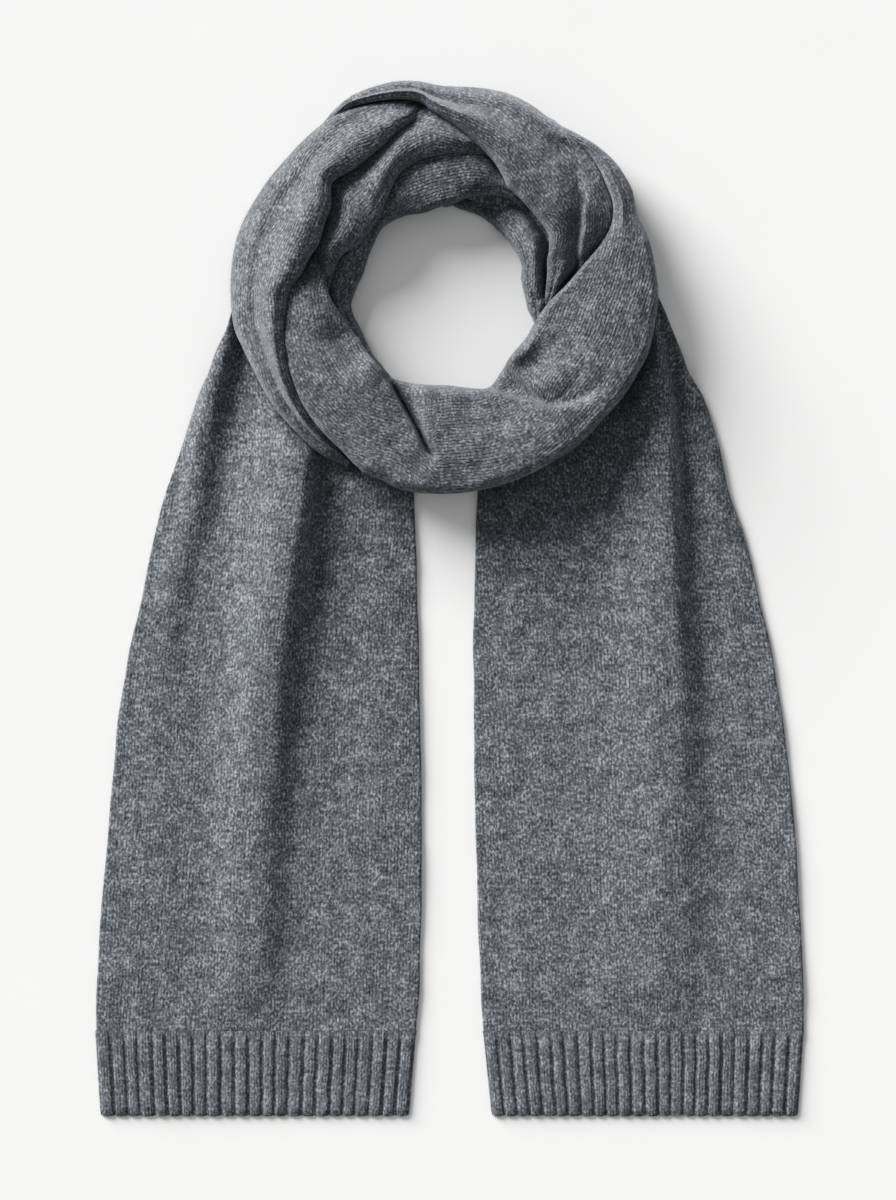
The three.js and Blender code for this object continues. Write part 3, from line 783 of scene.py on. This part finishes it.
def stretches() -> List[Stretch]:
    """Gives the stretches of the loop, from the outer ones to the inner ones."""
    left = Stretch(
        "loop_left", 90, 240, ((-400, "left_inner", 0),), ((128, "outline", 0), (-400, "over_left", 0)),
        (
            Section(90, 8, 14, 17, 15, 8, 3, 3, 0, 8),
            Section(97, 10, 27, 27, 22, 10, 4, 4, 0, 8),
            Section(103, 12, 40, 39.5, 35, 14, 4.5, 6, 0, 0),
            Section(115, 12, 44, 43, 36, 14, 5, 6, 0, 0),
            Section(128, 12, 45.5, 43.5, 34, 2, 5.5, 13, 0, 0),
            Section(143, 12, 45.5, 43, 29, 0.5, 6, 17, 0, 0),
            Section(155, 12, 45.5, 42.5, 27.5, 0.5, 6, 18, 0, 0),
            Section(165, 12, 45, 42, 27, 0.5, 6, 18, 0, 0),
            Section(178, 10, 43.5, 41, 27.5, 3.5, 5.5, 17, 1, 0),
            Section(190, 8, 42, 40, 28, 8, 5.5, 15, 2, 0),
            Section(205, 8, 38.5, 37.5, 28, 8, 5.5, 13, 2, 0),
            Section(220, 8, 31, 31, 25, 7, 5.5, 10, 2, 0),
            Section(232, 6, 19, 22, 20, 6, 5.5, 7, 3, 0),
            Section(240, 4, 9, 13, 13, 4, 3, 4, 3, 0),
        ),
        (
            (Crease(150, 143, 0, 3, 2), Crease(165, 144.5, 1.6, 3, 2), Crease(180, 143, 1.8, 3, 2),
             Crease(195, 139, 1.6, 3, 2), Crease(213, 136, 1.2, 3, 2), Crease(228, 134, 0, 3, 2)),
            (Crease(140, 122, 0, 9, 9), Crease(158, 122, 1.6, 9, 9), Crease(176, 126, 0, 9, 9)),
        ),
        (0.085, 0.32), ("loop_core", "tail_left"), 1)
    over = Stretch(
        "loop_over", -10, 130, ((-400, "over_left", 0),), ((58, "outline", 0), (-400, "over_right", 0)),
        (
            Section(-10, 10, 19, 20, 17, 10, 3, 3, 0, 8),
            Section(0, 12, 29, 30, 22, 12, 4, 5, 0, 8),
            Section(6, 12, 34, 37, 29, 12, 5, 7, 0, 5),
            Section(14, 12, 38, 41, 34, 12, 6, 6, 0, 3),
            Section(23, 12, 42, 44, 36, 12, 7, 7, 0, 3),
            Section(35, 12, 44, 45, 34, 12, 7, 7, 0, 3),
            Section(48, 12, 45, 45, 32, 10, 7, 7, 0, 3),
            Section(58, 12, 45.5, 45, 36, 3, 7.5, 12, 0, 0),
            Section(76, 12, 45.5, 44, 34, 0.5, 7.5, 14, 0, 0),
            Section(90, 12, 44.5, 43, 32, 0.5, 6, 13, 0, 0),
            Section(98, 12, 42, 41.5, 33, 0.5, 4.5, 10, 0, 0),
            Section(108, 12, 38, 37.5, 30, 0.5, 3.5, 8, 0, 0),
            Section(118, 10, 33, 32, 25, 0.5, 3, 6, 0, 0),
            Section(124, 6, 22, 22, 18, 0.5, 3, 4, 3, 0),
            Section(130, 3, 8, 10, 9, 0.5, 3, 3, 8, -1),
        ),
        (
            (Crease(-4, 76, 1.5, 5, 2), Crease(1.6, 81.2, 4, 7, 2), Crease(10, 91.4, 7.5, 9, 2),
             Crease(19.6, 96.9, 9, 11, 2), Crease(29.5, 107, 7.5, 12, 2.5), Crease(36.3, 116.5, 4.5, 12, 4),
             Crease(47, 123, 2, 12, 7), Crease(60, 127, 0, 12, 9)),
        ),
        (0.092, 0.28), ("loop_core", "loop_upper"), 2)
    front = Stretch(
        "loop_front", -202, 62,
        ((-21, "over_right", 0), (-124, "hole", 0), (-400, "front_left", 360)),
        ((-115, "outline", 0), (-400, "left_inner", 360)),
        (
            Section(-202, 8, 15, 16, 14, 8, 3, 3, 0, 6),
            Section(-192, 12, 29, 30, 25, 10, 4, 4, 0, 6),
            Section(-184, 12, 35, 37, 34, 12, 5, 4.5, 0, 4),
            Section(-176, 12, 38.5, 40.5, 37.5, 12, 5.5, 4.5, 0, 1),
            Section(-165, 12, 41, 42, 38.5, 12, 6, 4.5, 0, 0),
            Section(-150, 12, 42, 42.5, 37.5, 12, 6, 5, 0, 0),
            Section(-132, 12, 43, 43.5, 36.5, 12, 6, 6, 0, 0),
            Section(-124, 7, 42, 44, 37, 12, 7, 7, 0, 0),
            Section(-116, 5, 41, 44, 39, 9, 8, 8, 0, 0),
            Section(-105, 5, 39, 43.5, 41, 9, 9, 8, 0, 0),
            Section(-90, 5, 38, 43, 43, 5, 9, 7, 0, 0),
            Section(-66, 5, 37, 42.5, 43, 9, 9, 7, 0, 0),
            Section(-42, 5, 36, 43, 43.5, 9, 9, 7, 0, 0),
            Section(-22, 8, 37, 43.5, 43.5, 9, 9, 7, 0, 0),
            Section(-8, 12, 38.5, 43.5, 43, 9, 7, 7, 0, 0),
            Section(5, 12, 40, 43, 42.5, 3.6, 5, 7, 0, 0),
            Section(18, 12, 41, 43, 41, 0.5, 6, 8, 0, 0),
            Section(30, 12, 40, 40.5, 37, 0.5, 5, 8, 0, 0),
            Section(40, 12, 37, 37, 33, 0.5, 4, 7, 0, 0),
            Section(50, 10, 33, 32.5, 29, 0.5, 3.5, 6, 0, 0),
            Section(56, 7, 25, 25, 22, 0.5, 3, 4, 3, -1),
            Section(62, 2, 10, 11, 10, 0.5, 3, 3, 8, -3),
        ),
        (
            (Crease(-128, 69, 4, 12, 2), Crease(-124, 70.5, 8, 14, 2), Crease(-117, 76, 12, 18, 2),
             Crease(-110, 83, 12, 19, 2), Crease(-103, 94, 8, 16, 2.5), Crease(-97, 108, 3, 12, 4),
             Crease(-94, 114, 0, 10, 5)),
            (Crease(-128, 69, 5, 3, 2), Crease(-117, 76, 9, 3.5, 2), Crease(-103, 94, 9, 4, 2),
             Crease(-97, 108, 7, 4, 2), Crease(-93, 117, 0, 4, 2)),
            (Crease(-70, 67, 3, 12, 3), Crease(-64, 72.6, 10, 14, 3), Crease(-53, 88.3, 15, 19, 3.5),
             Crease(-45.7, 106, 12, 23, 4), Crease(-36.4, 119, 6, 22, 5), Crease(-26, 128, 0, 16, 7)),
            (Crease(-178, 84, 0, 12, 12), Crease(-167, 78, 4, 12, 15), Crease(-156, 74, 8.5, 12, 18),
             Crease(-146, 73, 7, 12, 17), Crease(-136, 74, 0, 12, 14)),
            (Crease(-66, 66, 0, 8, 9), Crease(-58, 68, 4, 9, 11), Crease(-50, 70, 10, 10, 13),
             Crease(-42, 75, 10, 11, 14), Crease(-32, 80, 6, 12, 14), Crease(-18, 86, 0, 12, 14)),
            (Crease(-70, 84, 0, 1.2, 1.2), Crease(-56, 94, 0.9, 1.2, 1.2), Crease(-42, 107, 1.2, 1.2, 1.2),
             Crease(-30, 108, 0.9, 1.2, 1.2), Crease(-18, 105, 0, 1.2, 1.2)),
            (Crease(-36, 134, 0, 3, 2), Crease(-16, 139, 0.7, 3, 2), Crease(2, 140, 0.9, 3, 2),
             Crease(20, 137.5, 0, 3, 2)),
        ),
        (0.107, 0.49), ("loop_core", "tail_left", "tail_right"), 3)
    upper = Stretch(
        "loop_upper", 60, 186, ((-400, "upper_inner", 0),),
        ((158, "front_left", 0), (94, "left_inner", 0), (-400, "over_left", 0)),
        (
            Section(60, 8, 14, 15, 14, 8, 3, 3, 0, 8),
            Section(71, 10, 26, 27, 23, 10, 4, 4, 0, 8),
            Section(82, 12, 37, 38.5, 31, 12, 5, 5, 0, 8),
            Section(94, 12, 41, 41.5, 33, 12, 5.5, 6, 0, 8),
            Section(112, 12, 41, 41.5, 32, 12, 5.5, 6, 0, 8),
            Section(132, 12, 39, 39.5, 29, 12, 5.5, 6, 0, 8),
            Section(150, 12, 36, 37, 27, 12, 5.5, 5, 0, 8),
            Section(166, 10, 30, 31.5, 24, 10, 5, 4, 0, 8),
            Section(178, 8, 19, 22, 18, 8, 4, 4, 0, 8),
            Section(186, 6, 13, 14, 12, 6, 3, 3, 0, 8),
        ),
        (), (0.064, 0.21), ("loop_core", "loop_inner"), 4)
    inner = Stretch(
        "loop_inner", 48, 236, ((88, "hole", 0), (-400, "inner_end", 0)),
        ((180, "front_left", 0), (71, "upper_inner", 0), (-400, "over_left", 0)),
        (
            Section(48, 6, 19, 20, 16, 6, 3, 3, 0, 8),
            Section(57, 5, 27, 28, 20, 8, 4, 3, 0, 8),
            Section(67, 6, 28, 30, 20, 10, 5, 4, 0, 8),
            Section(78, 3, 33, 35, 30, 10, 6, 4, 0, 8),
            Section(90, 1, 33.5, 36, 32, 10, 6, 4, 0, 8),
            Section(111, 0.5, 31.5, 34.5, 31, 9, 6, 4, 0, 8),
            Section(126, 0.5, 28, 31, 28, 8, 6, 4, 0, 8),
            Section(139, 0.5, 24, 27, 24, 7, 5, 4, 0, 8),
            Section(152, 0.5, 21, 24, 21, 7, 5, 4, 0, 8),
            Section(165, 0.5, 17, 21, 17, 7, 5, 4, 0, 8),
            Section(187, 0.5, 16, 20, 15, 7, 6, 4, 0, 8),
            Section(205, 0.5, 16, 18, 14, 6, 5, 4, 0, 8),
            Section(224, 0.5, 13, 15, 12, 5, 4, 3, -0.5, 8),
            Section(236, 0.5, 8, 9, 8, 3, 3, 3, -3, 8),
        ),
        (), (0.047, 0.26), ("loop_core",), 5)
    right = Stretch(
        "loop_right", -26, 92, ((-400, "hole", 0),),
        ((57, "inner_end", 0), (-2, "over_left", 0), (-400, "over_right", 0)),
        (
            Section(-26, 3, 12, 13, 12, 6, 3, 3, -4, 8),
            Section(-18, 2, 19, 20, 17, 8, 4, 3, -2, 8),
            Section(-8, 1, 23, 24, 19, 10, 6, 4, 0, 8),
            Section(8, 0.5, 27, 27, 16, 8, 6, 3, 0, 8),
            Section(23, 0.5, 28, 28, 15, 7, 6, 3, 0, 8),
            Section(38, 0.5, 24, 25, 12, 5, 7, 4, 0, 8),
            Section(50, 0.5, 18, 18, 9, 4, 8, 4, 0, 8),
            Section(62, 0.5, 11, 10.5, 7, 3, 5, 3, 0, 8),
            Section(78, 0.5, 9, 9, 7, 3, 4, 3, 0, 8),
            Section(92, 0.5, 8, 9, 8, 3, 3, 3, -4, 8),
        ),
        (
            (Crease(-6, 67, 0, 4, 6), Crease(6, 70, 5, 5, 7), Crease(20, 74, 7, 5, 8),
             Crease(34, 80, 5, 6, 8),
             Crease(46, 80, 2, 6, 8), Crease(58, 80, 0, 6, 8)),
        ),
        (0.05, 0.14), ("loop_core",), 6)
    return [left, over, front, upper, inner, right]


@dataclass
class HiddenLayers:
    """The rounded solid that stands for the hidden layers of the loop."""

    inside: float = 8.0
    outside: float = 14.0
    top: float = 14.5
    above: float = 3.4
    bevel: float = 4.0
    step: int = 3

    def build(self, loop: Loop, finish: bpy.types.Material) -> bpy.types.Object:
        """Models the hidden layers and dresses them.

        Args:
            loop: the loop that they belong to.
            finish: their material.

        Returns:
            The new piece.
        """
        turns = np.arange(0, 360, self.step, dtype=float)
        angles = np.where(turns > 180, turns - 360, turns)
        lines = loop.lines
        inner = column(lines["hole"], 1, np.where(angles < -140, angles + 360, angles)) + self.inside
        outer = column(lines["outline"], 1, np.where(angles < -122, angles + 360, angles)) - self.outside
        low = self.above * (1 - ease(angles, 8, 24) * ease(-angles, -172, -156))
        top = np.full(len(angles), self.top)
        radius = np.stack([inner, inner, inner + self.bevel, outer - self.bevel, outer, outer], axis=1)
        height = np.stack([low, top - self.bevel, top, top, top - self.bevel, low], axis=1)
        turn = np.radians(turns)[:, None]
        x, y = loop.centre[0] + radius * np.cos(turn), loop.centre[1] + radius * np.sin(turn)
        points = np.stack([x, y, height], axis=-1)
        rows, count = radius.shape
        faces = []
        for j in range(rows):
            near, far = j * count, (j + 1) % rows * count
            faces += [(near + i, near + (i + 1) % count, far + (i + 1) % count, far + i)
                      for i in range(count)]
        flat = points.reshape(-1, 3)
        piece = new_object("loop_core_cloth", flat, faces, flat[:, :2] * MM)
        face_out(piece)
        piece.data.materials.append(finish)
        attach(piece, BODY)
        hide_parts("loop_core")
        return piece


# The hanging ends


class Edges(NamedTuple):
    """Where the two edges of a hanging end are at one place along it."""

    y: float
    left: float
    right: float


class Fold(NamedTuple):
    """One place on a fold: where its crest is, how high, and how far it reaches to each side."""

    y: float
    x: float
    height: float
    reach_left: float
    reach_right: float


@dataclass
class HangingEnd:
    """One hanging end of plain knit, from under the loop to its rib."""

    side: Side
    edges: Sequence[Edges]
    folds: Sequence[Sequence[Fold]]
    cut: Tuple[float, float]
    seed: int
    hem: float = -302.2
    top: float = 217.0
    wall: float = 2.9
    settled: float = 1.0
    spacing: float = 2.6
    swell: float = 0.35
    flatten: float = 9.0
    fading: float = 30.0
    at_hem: float = 0.3
    square: float = 2.6
    lip: int = 4
    surface: Optional[np.ndarray] = None

    def relief(self, loop: Loop, x: np.ndarray, y: np.ndarray) -> np.ndarray:
        """Gives how high the folds lift the cloth at each point."""
        height = np.zeros_like(x)
        for rows in self.folds:
            away = x - column(rows, 1, y)
            half = np.where(away < 0, column(rows, 3, y), column(rows, 4, y))
            inside = (y >= rows[0].y) & (y <= rows[-1].y)
            height += inside * column(rows, 2, y) * np.exp(-np.abs(away / half) ** self.square)
        height += self.swell * (1 + ripple(x * 1.6, y * 0.7, 42.0, self.seed))
        height += 0.4 * self.swell * (1 + ripple(x * 1.3, y * 0.8, 14.0, self.seed + 50))
        height *= ease(loop.towards(x, y), -self.flatten, self.flatten)
        return height * (self.at_hem + (1 - self.at_hem) * ease(y, self.hem, self.hem + self.fading))

    def build(self, loop: Loop, finish: bpy.types.Material) -> bpy.types.Object:
        """Models the end as a thin shell and dresses it.

        Args:
            loop: the loop that it comes out of.
            finish: its material.

        Returns:
            The new piece.
        """
        rows = round((self.top - self.hem) / self.spacing)
        y = np.linspace(self.hem, self.top, rows + 1)
        left, right = column(self.edges, 1, y), column(self.edges, 2, y)
        wobble = 0.35 * ripple(y, np.full_like(y, self.seed), 46.0, self.seed + 9)
        left, right = left + wobble, right + 0.8 * wobble[::-1]
        columns = round(float(np.max(right - left)) / self.spacing)
        share = np.concatenate([
            1.5 * (1 - np.cos(np.linspace(0, math.pi / 2, self.lip + 1)[:-1])) / 225.0,
            np.linspace(1.5 / 225.0, 1 - 1.5 / 225.0, columns + 1),
            1 - 1.5 * (1 - np.cos(np.linspace(math.pi / 2, 0, self.lip + 1)[1:])) / 225.0])
        x = left[:, None] + (right - left)[:, None] * share[None, :]
        yy = np.broadcast_to(y[:, None], x.shape)
        lift = self.relief(loop, x, yy)
        from_edge = np.minimum(share, share[::-1])[None, :] * (right - left)[:, None]
        rounded = np.sqrt(np.clip(1 - (1 - np.clip(from_edge / 1.5, 0, 1)) ** 2, 0, 1))
        low = np.maximum(0.0, lift - self.settled)
        middle = (low + lift + self.wall) / 2
        high = middle + (lift + self.wall - middle) * (0.12 + 0.88 * rounded)
        under = middle - (middle - low) * (0.12 + 0.88 * rounded)
        outside = np.stack([x, yy, high], axis=-1)
        inside = np.stack([x, yy, under], axis=-1)
        self.surface = outside
        rise = np.diff(high, axis=1)
        run = np.cumsum(np.hypot(np.diff(x, axis=1), rise), axis=1)
        run = np.concatenate([np.zeros((len(y), 1)), run], axis=1)
        place = np.stack([run - run[:, -1:] / 2, yy], axis=-1) * MM
        name = f"tail_{self.side.value}"
        piece = shell(f"{name}_cloth", outside, inside, place + self.seed * 0.37, 0.3)
        piece.data.materials.append(finish)
        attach(piece, BODY)
        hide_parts(name)
        return piece


def hanging_ends() -> List[HangingEnd]:
    """Gives the two hanging ends."""
    left = HangingEnd(
        Side.LEFT,
        (
            Edges(-305, -248.6, -24), Edges(-265, -247.5, -21), Edges(-220, -245, -20.2),
            Edges(-168, -240, -19.8), Edges(-100, -234.5, -20.8), Edges(-42, -226, -21.7),
            Edges(0, -216.3, -22.8), Edges(34.6, -210, -24), Edges(69.6, -201, -25),
            Edges(104.6, -189, -27.5), Edges(141.6, -177, -33), Edges(160, -168, -46),
            Edges(175, -163, -60), Edges(188, -157, -72), Edges(205, -152, -82), Edges(217, -146, -90),
        ),
        (
            (Fold(-110, -206, 0, 12, 14), Fold(-50, -202, 1.6, 12, 13), Fold(0, -197, 3, 12, 12),
             Fold(39, -187, 4, 11, 13), Fold(75, -179, 5.5, 10, 13), Fold(112, -174, 8, 9, 12),
             Fold(150, -166, 11, 8, 10), Fold(180, -157, 11, 8, 9), Fold(217, -152, 9, 8, 9)),
            (Fold(-302, -141, 2, 26, 21), Fold(-255, -138, 5.5, 27, 19), Fold(-168, -134, 8.5, 27, 18),
             Fold(-73, -126, 13, 28, 17), Fold(0, -116, 18, 31, 14), Fold(56, -107, 20, 34, 12),
             Fold(97, -102, 20, 35, 11), Fold(150, -97, 18, 31, 11), Fold(217, -93, 14, 26, 11)),
            (Fold(-240, -46, 0, 18, 20), Fold(-120, -48, 1.6, 18, 20), Fold(20, -52, 2.2, 18, 20),
             Fold(110, -56, 2, 18, 20)),
            (Fold(-290, -206, 0, 22, 20), Fold(-190, -204, 1.6, 20, 20), Fold(-60, -202, 0, 20, 20)),
        ),
        (0.24, 0.53), 11)
    right = HangingEnd(
        Side.RIGHT,
        (
            Edges(-305, 23.4, 247.8), Edges(-275, 21.7, 247.8), Edges(-195, 18.9, 244),
            Edges(-150, 17.5, 241), Edges(-96, 16.8, 235), Edges(-40, 16.1, 226), Edges(-5, 16.8, 218),
            Edges(40, 18.2, 208), Edges(74, 19.6, 196), Edges(110, 22, 188), Edges(141.6, 31, 178),
            Edges(160, 48, 167), Edges(175, 62, 161.5), Edges(188, 72, 156.5), Edges(203, 79, 150.5),
            Edges(217, 86, 143.5),
        ),
        (
            (Fold(-302, 154, 1.5, 30, 20), Fold(-250, 155, 4, 31, 19), Fold(-157, 159, 5.5, 32, 17),
             Fold(-73, 158.5, 8.5, 32, 14), Fold(0, 155.5, 12.5, 32, 11.5), Fold(56, 153.5, 15, 31, 9.5),
             Fold(112, 152, 16, 28, 8.5), Fold(150, 147.5, 15, 24, 8.5), Fold(180, 140, 13, 20, 8),
             Fold(217, 130, 10, 16, 7)),
            (Fold(-30, 205, 0, 14, 12), Fold(30, 196, 1.5, 14, 11), Fold(70, 188, 3.5, 13, 9),
             Fold(112, 179, 5, 11, 8), Fold(150, 169, 6, 9, 7), Fold(180, 154, 6, 8, 6)),
            (Fold(-290, 128, 0, 26, 26), Fold(-200, 130, 1.6, 26, 26), Fold(-60, 124, 1.6, 26, 24),
             Fold(20, 116, 0, 24, 22)),
            (Fold(-20, 62, 0, 26, 26), Fold(60, 52, 2.4, 26, 28), Fold(120, 50, 4, 20, 28),
             Fold(160, 62, 4, 14, 20)),
        ),
        (0.24, 0.53), 12)
    return [left, right]


@dataclass
class RibbedHem:
    """The ribbed hem of one end: raised columns of knit with grooves between them."""

    side: Side
    count: int
    top: Tuple[float, float]
    foot: Tuple[float, float]
    cut: Tuple[float, float]
    seed: int
    start: float = -302.35
    end: float = -362.2
    crest: float = 4.1
    groove: float = 2.45
    plain: float = 3.3
    groove_share: float = 0.3
    around: int = 12
    spacing: float = 2.4
    surface: Optional[np.ndarray] = None

    def profile(self, place: np.ndarray) -> np.ndarray:
        """Gives the thickness across one rib, from 0 to 1 along it."""
        off = np.abs(place - 0.5) * 2
        column_share = 1 - self.groove_share
        rise = np.sqrt(np.clip(1 - (off / (column_share + 0.12)) ** 4, 0, 1))
        return self.groove + (self.crest - self.groove) * rise

    def build(self, finish: bpy.types.Material) -> bpy.types.Object:
        """Models the hem as a thin shell and dresses it.

        Args:
            finish: its material.

        Returns:
            The new piece.
        """
        rows = round((self.start - self.end) / self.spacing)
        y = np.linspace(self.start, self.end, rows + 1)
        share = (self.start - y) / (self.start - self.end)
        left = self.top[0] + (self.foot[0] - self.top[0]) * share
        right = self.top[1] + (self.foot[1] - self.top[1]) * share
        steps = self.count * self.around
        place = np.linspace(0, self.count, steps + 1)
        draw = np.random.default_rng(self.seed)
        shift = np.concatenate([[0.0], draw.normal(0, 0.035, self.count - 1), [0.0]])
        bent = place + np.interp(place, np.arange(self.count + 1), shift)
        across = bent / self.count
        x = left[:, None] + (right - left)[:, None] * across[None, :]
        sway = 0.3 * ripple(x * 0.5, np.broadcast_to(y[:, None], x.shape) * 1.5, 30.0, self.seed)
        x = x + sway * np.sin(np.pi * across)[None, :]
        scallop = 0.9 * np.abs(np.sin(np.pi * place))[None, :] * ease(share, 0.9, 1.0)[:, None]
        yy = np.broadcast_to(y[:, None], x.shape) - scallop + 0.6 * ease(share, 0.5, 1.0)[:, None]
        full = draw.uniform(0.86, 1.06, self.count)[np.minimum(place.astype(int), self.count - 1)]
        high = self.profile(place % 1.0) * full
        cast_off = 1 - 0.45 * ease(share, 0.94, 1.0)
        begun = ease(share, -0.02, 0.16)[:, None]
        high = (self.plain + (high[None, :] - self.plain) * begun) * cast_off[:, None]
        outside = np.stack([x, yy, high], axis=-1)
        inside = np.stack([x, yy, np.zeros_like(x)], axis=-1)
        self.surface = outside[::-1]
        pace = (right - left).mean() / self.count * 1.16
        cloth = np.stack([np.broadcast_to(place * pace, x.shape), yy], axis=-1) * MM
        name = f"rib_{self.side.value}"
        piece = shell(f"{name}_cloth", outside, inside, cloth + self.seed * 0.29, 0.3)
        piece.data.materials.append(finish)
        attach(piece, BODY)
        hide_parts(name)
        return piece


def ribbed_hems() -> List[RibbedHem]:
    """Gives the hems of the two ends."""
    return [
        RibbedHem(Side.LEFT, 23, (-248.2, -24.4), (-244.6, -29.4), (0.24, 0.06), 21),
        RibbedHem(Side.RIGHT, 24, (23.8, 247.4), (29.8, 243.4), (0.24, 0.06), 22),
    ]


# The setting


@dataclass
class Studio:
    """The pale floor, the soft light and the camera straight above the scarf."""

    view_height: float = 840.0
    middle: Tuple[float, float] = (-1.4, -0.35)
    distance: float = 3400.0
    level: float = 8.0
    window_strength: float = 5.5
    window_width: float = 34.0
    window_heading: float = 134.0
    window_height: float = 23.0
    window_colour: Tuple[float, float, float] = (1.0, 0.995, 0.985)
    air: float = 0.38
    tones: Sequence[Tuple[float, float]] = (
        (0.02, 0.008), (0.06, 0.034), (0.15, 0.135), (0.22, 0.226), (0.32, 0.35), (0.6, 0.64), (0.9, 0.9))

    def build(self) -> None:
        """Makes the floor, the lights and the camera."""
        self.tone()
        self.floor()
        self.window()
        world = bpy.data.worlds.new("studio_air")
        world.use_nodes = True
        background = world.node_tree.nodes["Background"]
        background.inputs["Color"].default_value = (1.0, 1.0, 1.0, 1.0)
        background.inputs["Strength"].default_value = self.air
        bpy.context.scene.world = world
        self.camera()

    def tone(self) -> None:
        """Gives the picture the soft shoulder and toe of a photograph."""
        view = bpy.context.scene.view_settings
        view.view_transform = "Standard"
        view.use_curve_mapping = True
        curve = view.curve_mapping.curves[3]
        for light, shown in self.tones:
            curve.points.new(light, shown)
        view.curve_mapping.update()

    def floor(self) -> None:
        """Makes the pale floor, just under the cloth."""
        reach, drop = 2500.0, 0.3
        corners = np.array([(-reach, -reach, -drop), (reach, -reach, -drop), (reach, reach, -drop),
                            (-reach, reach, -drop)])
        floor = new_object("floor", corners, [(0, 1, 2, 3)], None)
        paper = bpy.data.materials.new("white_paper")
        paper.use_nodes = True
        wire = Wiring(paper.node_tree)
        shader = paper.node_tree.nodes["Principled BSDF"]
        place = wire.node("ShaderNodeTexCoord").outputs["Object"]
        mottle = wire.noise(place, 9.0, 3.0).outputs["Fac"]
        tint = wire.ramp(mottle, [(0.3, (0.86, 0.86, 0.86)), (0.7, (0.88, 0.88, 0.88))])
        wire.feed(shader.inputs["Base Color"], tint)
        shader.inputs["Roughness"].default_value = 0.9
        shader.inputs["Specular IOR Level"].default_value = 0.1
        floor.data.materials.append(paper)

    def window(self) -> None:
        """Makes the broad, soft light from the upper left."""
        lamp = bpy.data.lights.new("window_light", "SUN")
        lamp.energy = self.window_strength
        lamp.angle = math.radians(self.window_width)
        lamp.color = self.window_colour
        holder = bpy.data.objects.new("window_light", lamp)
        heading, height = math.radians(self.window_heading), math.radians(self.window_height)
        holder.rotation_euler = (0.0, math.pi / 2 - height, heading)
        holder.location = (0.0, 0.0, 2.0)
        bpy.context.scene.collection.objects.link(holder)

    def camera(self) -> None:
        """Makes the camera straight above, framed as the photograph is."""
        lens = bpy.data.cameras.new("overhead_camera")
        lens.sensor_width = 36.0
        lens.lens = lens.sensor_width * (self.distance - self.level) / self.view_height
        lens.clip_end = 20.0
        holder = bpy.data.objects.new("overhead_camera", lens)
        holder.location = (self.middle[0] * MM, self.middle[1] * MM, self.distance * MM)
        bpy.context.scene.collection.objects.link(holder)
        bpy.context.scene.camera = holder


def main() -> None:
    """Builds the scarf and its setting, and reports each piece."""
    logging.basicConfig(level=logging.INFO, format="%(name)s: %(message)s")
    Studio().build()
    groups = {"stitches": jersey_stitches(), "heather": heather()}
    # Each knit finish paints shade into its stitch grooves and hollows. The groove argument sets how strong
    # that shade is in the grooves.
    loose = Knit().material(groups)
    clear = Knit(name="heathered_knit_loop", contrast=1.2, clear=0.8, groove=0.45).material(groups)
    ribbed = Knit(name="heathered_rib", contrast=1.1, clear=0.5, groove=0.25).material(groups)
    loop = Loop()
    ends, hems, wound = hanging_ends(), ribbed_hems(), stretches()
    made = [end.build(loop, loose) for end in ends]
    made += [hem.build(ribbed) for hem in hems]
    made.append(HiddenLayers().build(loop, loose))
    made += [stretch.build(loop, clear) for stretch in wound]
    fuzz = Fuzz().material()
    for name, parts, count, seed in (("fuzz_left", [ends[0], hems[0]], 30000, 71),
                                     ("fuzz_right", [ends[1], hems[1]], 30000, 72),
                                     ("fuzz_loop", wound, 50000, 73)):
        piece = fibres(name, [part.surface for part in parts], count, seed)
        piece.data.materials.append(fuzz)
        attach(piece, BODY)
        made.append(piece)
    for piece in made:
        LOG.info("%s: %d faces", piece.name, len(piece.data.polygons))


if __name__ == "__main__":
    main()
